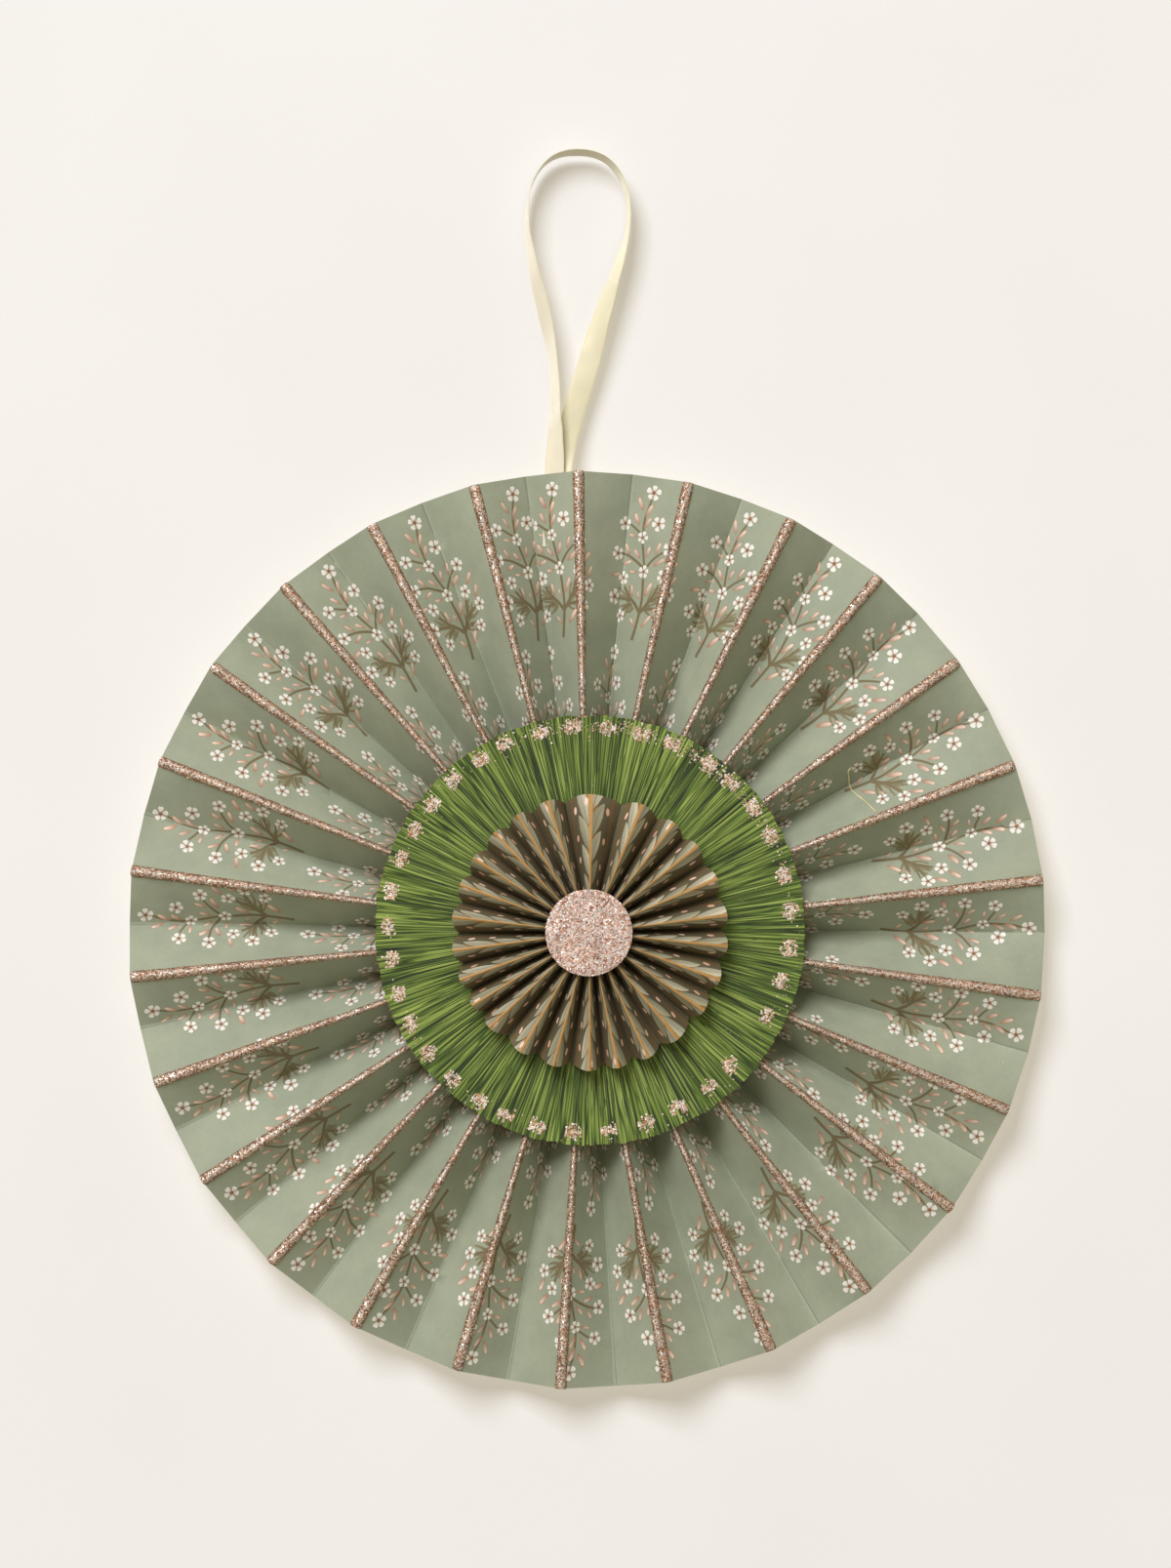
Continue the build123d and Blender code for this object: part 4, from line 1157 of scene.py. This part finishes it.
front_v = polar_points(T, rr, yf, CREPE_C)
keep_r = [0, 2, 6, 11, 16, len(rads) - 1]
back_v = polar_points(T[:, keep_r], rr[:, keep_r], yb[:, keep_r], CREPE_C)
NR, NB = len(rads), len(keep_r)
verts = np.concatenate([front_v.reshape(-1, 3), back_v.reshape(-1, 3)])
i = np.arange(A_N)
i2 = (i + 1) % A_N
fl = []
for j in range(NR - 1):
    fl.append(np.stack([i * NR + j, i2 * NR + j, i2 * NR + j + 1, i * NR + j + 1], 1))
base = A_N * NR
for j in range(NB - 1):
    fl.append(np.stack([base + i * NB + j, base + i * NB + j + 1, base + i2 * NB + j + 1,
                        base + i2 * NB + j], 1))
fl.append(np.stack([i * NR + NR - 1, i2 * NR + NR - 1, base + i2 * NB + NB - 1,
                    base + i * NB + NB - 1], 1))
fl.append(np.stack([i2 * NR, i * NR, base + i * NB, base + i2 * NB], 1))
crepe = new_piece("crepe_disc_crinkled", verts, np.concatenate(fl), mat_crepe)
pol = np.concatenate([np.stack([np.cos(t) * 59, np.sin(t) * 59, q], -1).reshape(-1, 3)
                      for t, q in ((T, Rr), (T[:, keep_r], Rr[:, keep_r] + 90))])
point_attribute(crepe, "polar", pol, "FLOAT_VECTOR")
# painted shade for the crepe colour: darker in the dips of the crinkle, lighter on its rises
shade = np.clip(0.5 + 0.70 * cr, 0, 1)
point_attribute(crepe, "crinkle", np.concatenate([shade.ravel(), shade[:, keep_r].ravel()]))
seam = np.exp(-((D - 126.15) / 0.20) ** 2) + 0.55 * np.exp(-((D - 137.4) / 0.25) ** 2)
point_attribute(crepe, "seam", np.concatenate([seam.ravel(), 0 * seam[:, keep_r].ravel()]))
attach(crepe, "root")
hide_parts("crepe_disc")


# ------------------------------------------------------------------ glitter on the crepe
DABS = [(5.1, 56.0, 0.9), (14.8, 56.0, 1.05), (23.7, 56.1, 1.1), (35.4, 56.2, 1.15),
        (43.8, 56.3, 1.0), (53.4, 56.0, 1.15), (62.4, 55.9, 1.1), (74.1, 55.4, 1.15),
        (84.6, 55.4, 1.05), (95.1, 55.0, 1.1), (104.9, 54.5, 1.0), (115.9, 54.3, 0.9),
        (133.8, 53.6, 1.0), (142.8, 54.3, 0.85), (153.7, 54.6, 1.0),
        (163.8, 55.2, 1.0), (174.7, 55.4, 0.95), (184.7, 56.0, 1.1),
        (195.0, 56.0, 1.1), (204.5, 56.1, 1.0), (212.9, 56.0, 0.9),
        (222.7, 56.0, 1.0), (232.7, 55.9, 0.95), (242.4, 55.7, 1.05),
        (251.7, 55.5, 1.05), (261.7, 55.4, 1.0), (270.9, 55.5, 0.95),
        (281.0, 55.9, 1.1), (290.7, 55.7, 1.0), (299.8, 55.6, 1.0),
        (308.4, 55.7, 0.95), (317.7, 56.2, 1.1), (327.3, 56.0, 1.15),
        (335.4, 56.3, 0.95), (346.0, 55.9, 0.85), (354.9, 56.2, 1.0)]


def mound(centre, y0, y1, height, radius, seed, rings=7, spokes=26, uneven=0.12, bump=0.10):
    """A blob of glue on a plane facing the front: flat back at y1, domed front from y0."""
    th = np.arange(spokes) * 2 * PI / spokes
    q = np.linspace(1.0, 0.0, rings + 1)[:-1]
    outline = radius * (1 + uneven * value_noise(th * 5 / (2 * PI), 0 * th + seed * 0.37, seed, period=5)
                        + 0.5 * uneven * value_noise(th * 11 / (2 * PI), 0 * th + seed, seed + 1, period=11))
    qq, tt = np.meshgrid(q, th, indexing="ij")
    r = qq * outline[None, :]
    x, z = np.sin(tt) * r, np.cos(tt) * r
    h = height * np.sqrt(np.clip(1 - qq ** 2.4, 0, 1))
    h = h + bump * value_noise(x / 0.5 + 9.1, z / 0.5 + 3.3, seed + 2) * np.sqrt(1 - qq ** 2)
    y = y0 - np.maximum(h, 0)
    top = np.stack([x + centre[0], y, z + centre[1]], -1).reshape(-1, 3)
    crown = np.array([[centre[0], y0 - height, centre[1]]])
    rim = np.stack([x[0] + centre[0], np.full(spokes, y1), z[0] + centre[1]], -1)
    foot = np.array([[centre[0], y1, centre[1]]])
    v = np.concatenate([top, crown, rim, foot])
    n, c = rings * spokes, rings * spokes
    f = list(grid_faces(rings, spokes, wrap=True)[:, ::-1])
    i = np.arange(spokes)
    i2 = (i + 1) % spokes
    last = (rings - 1) * spokes
    f += list(np.stack([last + i, np.full(spokes, c), last + i2], 1))
    rb = c + 1
    f += list(np.stack([i, i2, rb + i2, rb + i], 1))
    f += list(np.stack([rb + i, rb + i2, np.full(spokes, rb + spokes)], 1))
    return v, f


def grains(centres, normals, wide, tall, rng):
    """Lumps of glitter glue: five-sided, closed, flat on the paper."""
    n = len(centres)
    a = np.cross(normals, rng.normal(size=(n, 3)))
    a /= np.linalg.norm(a, axis=1, keepdims=True)
    b = np.cross(normals, a)
    ang = np.arange(5) * 2 * PI / 5 + rng.uniform(-0.25, 0.25, (n, 5))
    size = wide[:, None] * rng.uniform(0.75, 1.15, (n, 5))
    ring = centres[:, None] + size[..., None] * (a[:, None] * np.cos(ang)[..., None]
                                                 + b[:, None] * np.sin(ang)[..., None])
    low = ring - normals[:, None] * 0.10
    up = centres + normals * tall[:, None] + a * (wide * 0.25)[:, None]
    foot = centres - normals * 0.12
    v = np.concatenate([ring, low, up[:, None], foot[:, None]], axis=1).reshape(-1, 3)
    f = []
    for i in range(5):
        j = (i + 1) % 5
        f += [(i, j, 10), (i, i + 5, j), (j, i + 5, j + 5), (j + 5, i + 5, 11)]
    f = (np.array(f)[None] + (np.arange(n) * 12)[:, None, None]).reshape(-1, 3)
    return v, f


def on_crepe(ang_deg, r):
    """Front of the crepe paper there."""
    t = np.radians(ang_deg % 360)
    y = CREPE_FRONT + 0.34 - 0.23 * crinkle(t, r)
    return np.stack([CREPE_C[0] + np.sin(t) * r, y, CREPE_C[2] + np.cos(t) * r], 1)


rng = np.random.default_rng(77)
ga, gr, gs = [], [], []
for ang, r, size in DABS:
    n = int(94 * size)
    # clumps in short radial rows, as the gathers of the paper catch the glue
    row = rng.integers(-3, 4, n) * 0.66 + rng.normal(0, 0.10, n)
    along_r = rng.normal(0, 1.02 * size, n) * np.sqrt(np.clip(1.1 - (row / 2.6) ** 2, 0.15, 1))
    ga.append(ang + np.degrees(row / r))
    gr.append(np.clip(r + along_r, r - 2.3, 58.7))
    gs.append(rng.uniform(0.25, 0.50, n))
# trails between the dabs: most at the upper right, a few all round, some along the lap
trail = np.concatenate([rng.normal(26, 30, 540), rng.uniform(0, 360, 140)])
ga.append(trail)
gr.append(56.2 + rng.normal(0, 1.25, len(trail)))
gs.append(rng.uniform(0.16, 0.35, len(trail)))
stray = np.concatenate([rng.normal(30, 40, 70), rng.uniform(0, 360, 60), rng.normal(125.6, 0.35, 70)])
ga.append(stray)
gr.append(rng.uniform(39, 57.5, len(stray)))
gs.append(rng.uniform(0.06, 0.14, len(stray)))
ga, gr, gs = np.concatenate(ga), np.clip(np.concatenate(gr), 38, 58.8), np.concatenate(gs)
pos = on_crepe(ga, gr)
v, f = grains(pos, tilted(np.tile([0.0, -1.0, 0.0], (len(ga), 1)), 0.28, rng), gs,
              gs * 0.75 + 0.05, rng)
dabs = new_piece("crepe_glitter_dabs_grains", v, f, mat_grain, False)
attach(dabs, "root")
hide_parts("crepe_glitter_dabs")


# ------------------------------------------------------------------ small rosette
def scallop(ring, u, v):
    d = np.abs(u / ring.w - np.round((u / ring.w - ring.first) / 2) * 2 - ring.first)
    return v * (1 + 0.0585 * (v / 35.9) ** 5 * (1 - np.clip(d, 0, 1) ** 2.4))


def ros_bend(is_ridge, v):
    t = np.clip((v - 12) / 24, 0, 1)
    return np.where(is_ridge, 0.4 + 1.3 * t, 0.3 + 0.25 * t) * np.clip(v / 12, 0.2, 1)


ros = Ring(ROS_RIDGES, ROS_VALLEYS, ROS_C, ROS_W, ROS_T, 3.0, rest=-9.370844,
           radius_of=scallop, bend_of=ros_bend, bow=0.2, belly=0.42)
ros.first = int(np.argmax(ros.ridge == 1))       # folds of this parity are ridges
ros.round = (1.7, 0.5)


def olive_ground(u, v):
    base = np.array(lin((98, 90, 66))[:3])
    t = fbm(u / 6.0, v / 9.0, 41, 4)[..., None]
    return base * (1 + 0.35 * t) + np.array([0.006, 0.003, 0.0]) * np.maximum(t, 0)


G_LEAF = [np.array(lin(c)[:3]) for c in ((194, 190, 162), (176, 172, 142), (206, 200, 172))]
G_OCHRE = [np.array(lin(c)[:3]) for c in ((188, 142, 76), (148, 108, 58))]
G_COPPER = [np.array(lin(c)[:3]) for c in ((250, 214, 192), (228, 180, 152))]
G_PALE = np.array(lin((214, 204, 178))[:3])


def oval(cx, cy, a, b, turn, n=9):
    return turned([(math.cos(t) * a, math.sin(t) * b) for t in np.arange(n) * 2 * PI / n],
                  turn, (cx, cy))


BLADE = [(0.0, 0.0), (0.10, 0.09), (0.28, 0.155), (0.5, 0.165), (0.72, 0.12), (0.9, 0.045),
         (1.0, -0.02), (0.86, -0.06), (0.66, -0.10), (0.42, -0.105), (0.18, -0.07)]


def blade_colour(c, cu, cv, lean, length):
    a = math.radians(lean)

    def f(u, v):
        along_it = ((u - cu) * math.sin(a) + (v - cv) * math.cos(a)) / length
        out = ((u - cu) * math.cos(a) - (v - cv) * math.sin(a)) / length
        t = smooth(0.5 + out * 3.2)[..., None]
        s = np.clip(along_it, 0, 1)[..., None]
        return c * (0.66 + 0.36 * t) * (0.85 + 0.25 * s)
    return f


def olive_print(u_lo, u_hi):
    """A plain leaf-and-berry stripe, one to a pleat, drawn by rule."""
    rng = np.random.default_rng(9)
    shapes = []
    k0 = int(math.floor(u_lo / ROS_W)) - 1
    for k in range(k0, int(u_hi / ROS_W) + 2):
        if k % 2 != ros.first % 2:
            continue
        u = k * ROS_W
        sway = rng.uniform(-0.4, 0.4)
        line = [(u + sway * math.sin(t * 2.2), 9 + 28 * t) for t in (0, 0.3, 0.6, 1.0)]
        shapes.append((2, stroke(line, 1.2, 5.2), const_colour(G_OCHRE[1]), 0.8))
        shapes.append((4, stroke(line, 0.55, 1.7), const_colour(G_OCHRE[0]), 0.95))
        start = rng.uniform(-0.8, 0.8)
        for side in (-1, 1):
            for q in range(4):
                v = 9.0 + start + 6.6 * q + (3.3 if side > 0 else 0) + rng.uniform(-0.4, 0.4)
                lean = side * rng.uniform(17, 24)
                L = rng.uniform(7.6, 8.6) + 0.65 * q
                pts = turned(np.array(BLADE) * (L, side * L * 1.42), 90 - lean,
                             (u + side * 0.8, v))
                c = G_LEAF[rng.integers(3)]
                shapes.append((3, pts, blade_colour(c, u + side * 0.8, v, lean, L), 0.9))
                mid = turned(stroke([(0.3, 0.05), (L * 0.45, side * 0.22), (L * 0.9, 0.0)], 0.22, 0.08),
                             90 - lean, (u + side * 0.8, v))
                shapes.append((4, mid, const_colour(G_LEAF[1] * 0.45), 0.6))
            line = [(u + side * (6.9 + 0.3 * math.sin(t * 4)), 12 + 24 * t) for t in (0, 0.35, 0.7, 1)]
            shapes.append((1, stroke(line, 0.5, 1.1), const_colour(G_OCHRE[1] * 0.7), 0.6))
            for v in (13.0, 19.0, 25.5, 32.0):
                pts = oval(u + side * 5.6, v + rng.uniform(-1.2, 1.2), 0.55, 0.95,
                           side * 12 + rng.uniform(-15, 15))
                shapes.append((5, pts, const_colour(G_COPPER[rng.integers(2)]), 0.95))
        if rng.uniform() < 0.6:
            pts = oval(u + rng.choice([-1.3, 1.3]), 34.4, 0.6, 0.85, rng.uniform(-20, 20))
            shapes.append((5, pts, const_colour(G_COPPER[0]), 1.0))
    return shapes


u0, u1, uc = (-1 + 0.05) * ROS_W, (ros.n - 1 + 0.40) * ROS_W, (ros.n - 1) * ROS_W


def ros_push(u, v):
    g = u / ROS_W + 1
    return (ROS_T + 0.035) * np.clip((1.0 - g) / 0.5, 0, 1) * np.clip((v - 5) / 6, 0, 1)


VR = [5, 7, 9, 11, 13, 15, 17, 19, 21, 23, 25, 27, 29, 31, 33, 34.4, 35.9]
rosette = sheet("small_rosette_printed", ros, u0, u1, VR, olive_print(u0, u1), olive_ground,
                ros_push, mat_olive, notch=(uc, 11), inner=3)
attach(rosette, "root")
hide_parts("small_rosette")


# ------------------------------------------------------------------ centre disc
v, f = mound((DISC_C[0], DISC_C[2]), -24.02, -23.51, 0.42, 11.9, 900, rings=34, spokes=150,
             uneven=0.006, bump=0.16)
rad = np.hypot(v[:, 0] - DISC_C[0], v[:, 2] - DISC_C[2])
front = v[:, 1] < -23.9
v[front, 1] = np.maximum(v[front, 1], -24.49)
disc = new_piece("centre_glitter_disc_body", v, f, mat_champ)
n = 2600
rr_, tt_ = 11.85 * np.sqrt(rng.uniform(0, 1, n)), rng.uniform(0, 2 * PI, n)
flat_y = -24.02 - 0.40 * np.sqrt(1 - (rr_ / 11.9) ** 2.4 * 0.98)
pos = np.stack([DISC_C[0] + np.sin(tt_) * rr_, flat_y - rng.uniform(0, 0.12, n),
                DISC_C[2] + np.cos(tt_) * rr_], 1)
nn = tilted(np.tile([0.0, -1.0, 0.0], (n, 1)), 0.34, rng)
v, f = flakes(pos, nn, rng.uniform(0.15, 0.32, n), rng)
disc_flakes = new_piece("centre_glitter_disc_flakes", v, f, mat_champ, False)
for obj in (disc, disc_flakes):
    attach(obj, "root")
    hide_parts("centre_glitter_disc")


# ------------------------------------------------------------------ glue at the back
def panel_mid_y(x, z, k):
    """Depth of the flat panel between fold k and k+1 at a point of the wall plane."""
    dx, dz = x - FAN_C[0], z - FAN_C[2]
    a = np.arctan2(dx, dz)
    a0, a1 = math.radians(fan.ang[k]), math.radians(fan.ang[(k + 1) % fan.n])
    s0, s1 = np.sin(a - a0), np.sin(a1 - a)
    f = s0 / (s0 + s1)
    ex = math.sin(a0) * (1 - f) + math.sin(a1) * f
    ez = math.cos(a0) * (1 - f) + math.cos(a1) * f
    r = np.hypot(dx, dz) / np.hypot(ex, ez)
    return fan.fold_y(np.full(x.shape, k), r) * (1 - f) + fan.fold_y(np.full(x.shape, k + 1), r) * f \
        + FAN_C[1]


def glue_blob():
    th = np.arange(44) * 2 * PI / 44
    q = np.linspace(1, 0, 13)[:-1]
    qq, tt = np.meshgrid(q, th, indexing="ij")
    wob = 1 + 0.10 * value_noise(tt * 6 / (2 * PI), 0 * tt + 2.2, 501, period=6)
    x = -7.4 + np.cos(tt) * qq * wob * 4.6
    z = -105.6 + np.sin(tt) * qq * wob * 6.0
    base = panel_mid_y(x, z, IA) + 0.17
    h = 2.1 * np.clip(1 - qq ** 2.2, 0, 1) ** 0.6 + 0.18 * value_noise(x / 1.9, z / 1.9, 503) * (1 - qq)
    top = np.stack([x, base + 0.05 + np.maximum(h, 0), z], -1).reshape(-1, 3)
    low = np.stack([x[0], base[0], z[0]], -1)
    cx, cz = np.array([-7.4]), np.array([-105.6])
    cy = panel_mid_y(cx, cz, IA) + 0.17
    v = np.concatenate([top, [[cx[0], cy[0] + 2.15, cz[0]]], low, [[cx[0], cy[0], cz[0]]]])
    n, c = 44, 12 * 44
    f = list(grid_faces(12, n, wrap=True))
    i = np.arange(n)
    i2 = (i + 1) % n
    last = 11 * n
    f += list(np.stack([last + i, last + i2, np.full(n, c)], 1))
    rb = c + 1
    f += list(np.stack([i2, i, rb + i, rb + i2], 1))
    f += list(np.stack([rb + i2, rb + i, np.full(n, rb + n)], 1))
    return v, f


blob = new_piece("ribbon_glue_blob", *glue_blob(), mat_glue)
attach(blob, "root")
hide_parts("ribbon_glue_pad")


# a pale thread of hot glue drawn across one pleat at the right
def thread(points_uv, k_zero, radius):
    p = np.array([(k_zero * PANEL_W + u, v) for u, v in points_uv])
    t = np.linspace(0, len(p) - 1, 60)
    k = np.clip(t.astype(int), 0, len(p) - 2)
    f = (t - k)[:, None]
    pts = np.concatenate([fan.mid(a[:, 0], a[:, 1])[None] for a in (p,)])[0]
    nn = fan.normal(p[:, 0], p[:, 1])
    pts = pts + nn * (PAPER_T / 2 + radius * 0.8) + fan.c
    prev, nxt = pts[np.maximum(k - 1, 0)], pts[np.minimum(k + 2, len(p) - 1)]
    line = 0.5 * (2 * pts[k] + (pts[k + 1] - prev) * f
                  + (2 * prev - 5 * pts[k] + 4 * pts[k + 1] - nxt) * f ** 2
                  + (3 * pts[k] - prev - 3 * pts[k + 1] + nxt) * f ** 3)
    d = np.gradient(line, axis=0)
    d /= np.linalg.norm(d, axis=1, keepdims=True)
    side = np.cross(d, [0.0, 1.0, 0.0])
    side /= np.linalg.norm(side, axis=1, keepdims=True)
    up = np.cross(side, d)
    w = radius * (0.7 + 0.5 * abs(value_noise(t * 1.3, 0 * t, 611)))
    a = np.arange(8) * PI / 4
    v = line[:, None] + w[:, None, None] * (side[:, None] * np.cos(a)[None, :, None]
                                            + up[:, None] * np.sin(a)[None, :, None])
    fcs = list(grid_faces(60, 8, wrap=True))
    fcs += [np.arange(8)[::-1], np.arange(8) + 59 * 8]
    return v.reshape(-1, 3), fcs


strand = new_piece("stray_glue_thread", *thread([(43.2, 86.3), (43.9, 84.9), (46.5, 84.2),
                                                 (50.1, 83.3), (53.5, 83.4), (59.0, 85.0),
                                                 (64.7, 86.4)], 57, 0.22), mat_glue)
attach(strand, "root")

# CAD nodes that stay as they are get their finish here
for node, mat in (("back_card_disc", mat_card), ("fan_hub_glue", mat_glue),
                  ("rosette_hub_glue", mat_glue)):
    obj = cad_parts[node]
    if not obj.material_slots:
        obj.data.materials.append(mat)
    for slot in obj.material_slots:
        slot.material = mat


# ------------------------------------------------------------------ stage and lights
def plane_mesh(name, corners, material):
    mesh = bpy.data.meshes.new(name)
    mesh.from_pydata(corners, [], [(0, 1, 2, 3)])
    mesh.materials.append(material)
    obj = bpy.data.objects.new(name, mesh)
    bpy.context.scene.collection.objects.link(obj)
    return obj


def wall_material(name, rgb, one_sided, glow=0.0):
    m = Mat(name, Roughness=0.9)
    co = m.coords()
    a = m.noise(co, 0.012, 3.0)
    fine = m.noise(co, 0.55, 4.0, 0.6)
    col = m.mix(m.range(a, 0.3, 0.7), lin(rgb), lin(tuple(c * 0.985 for c in rgb)))
    m.put(m.b.inputs["Base Color"], col)
    m.put(m.b.inputs["Normal"], m.bump(fine, 0.25, 0.0002))
    m.b.inputs["Specular IOR Level"].default_value = 0.15
    if glow:
        m.b.inputs["Emission Color"].default_value = (1.0, 0.86, 0.73, 1.0)
        m.b.inputs["Emission Strength"].default_value = glow
    if one_sided:
        clear = m.node("ShaderNodeBsdfTransparent")
        both = m.node("ShaderNodeMixShader")
        back = m.node("ShaderNodeNewGeometry").outputs["Backfacing"]
        m.put(both.inputs[0], back)
        m.nt.links.new(m.b.outputs[0], both.inputs[1])
        m.nt.links.new(clear.outputs[0], both.inputs[2])
        m.nt.links.new(both.outputs[0], m.out.inputs[0])
    return m.m


floor_z, wall_y = -0.80, 0.0053
floor = plane_mesh("stage_floor", [(-4, -5, floor_z), (4, -5, floor_z), (4, 5, floor_z),
                                   (-4, 5, floor_z)], wall_material("pale_floor", (196, 190, 182), False))
wall = plane_mesh("stage_wall", [(-3, wall_y, floor_z), (3, wall_y, floor_z), (3, wall_y, 2.0),
                                 (-3, wall_y, 2.0)], wall_material("pale_wall", (205, 208, 210), True, 0.28))
floor.visible_diffuse = False
wall.visible_shadow = False
wall.visible_diffuse = False


def area(name, place, target, size, power, colour):
    data = bpy.data.lights.new(name, "AREA")
    data.shape, data.size, data.size_y = "RECTANGLE", size[0], size[1]
    data.energy, data.color = power, colour
    obj = bpy.data.objects.new(name, data)
    obj.location = place
    obj.rotation_euler = (Vector(target) - Vector(place)).to_track_quat("-Z", "Y").to_euler()
    bpy.context.scene.collection.objects.link(obj)
    return obj


aim = Vector((0.003, 0.0, -0.21))
to_key = Vector((-0.31, -0.74, 0.60)).normalized()
area("key", aim + to_key * 5.0, aim, (2.4, 2.4), 232.0, (0.95, 0.937, 1.0))
area("back", (0.9, 1.7, 0.7), aim, (1.4, 1.4), 24.0, (1.0, 0.98, 0.95))
area("back_left", (-1.4, 1.3, 0.1), aim, (1.2, 1.2), 12.0, (1.0, 0.98, 0.95))
world = bpy.data.worlds.new("studio")
bpy.context.scene.world = world
world.use_nodes = True
bg = world.node_tree.nodes["Background"]
bg.inputs[0].default_value = (1.0, 0.93, 0.72, 1.0)
bg.inputs[1].default_value = 0.405
bpy.context.scene.view_settings.view_transform = "Standard"
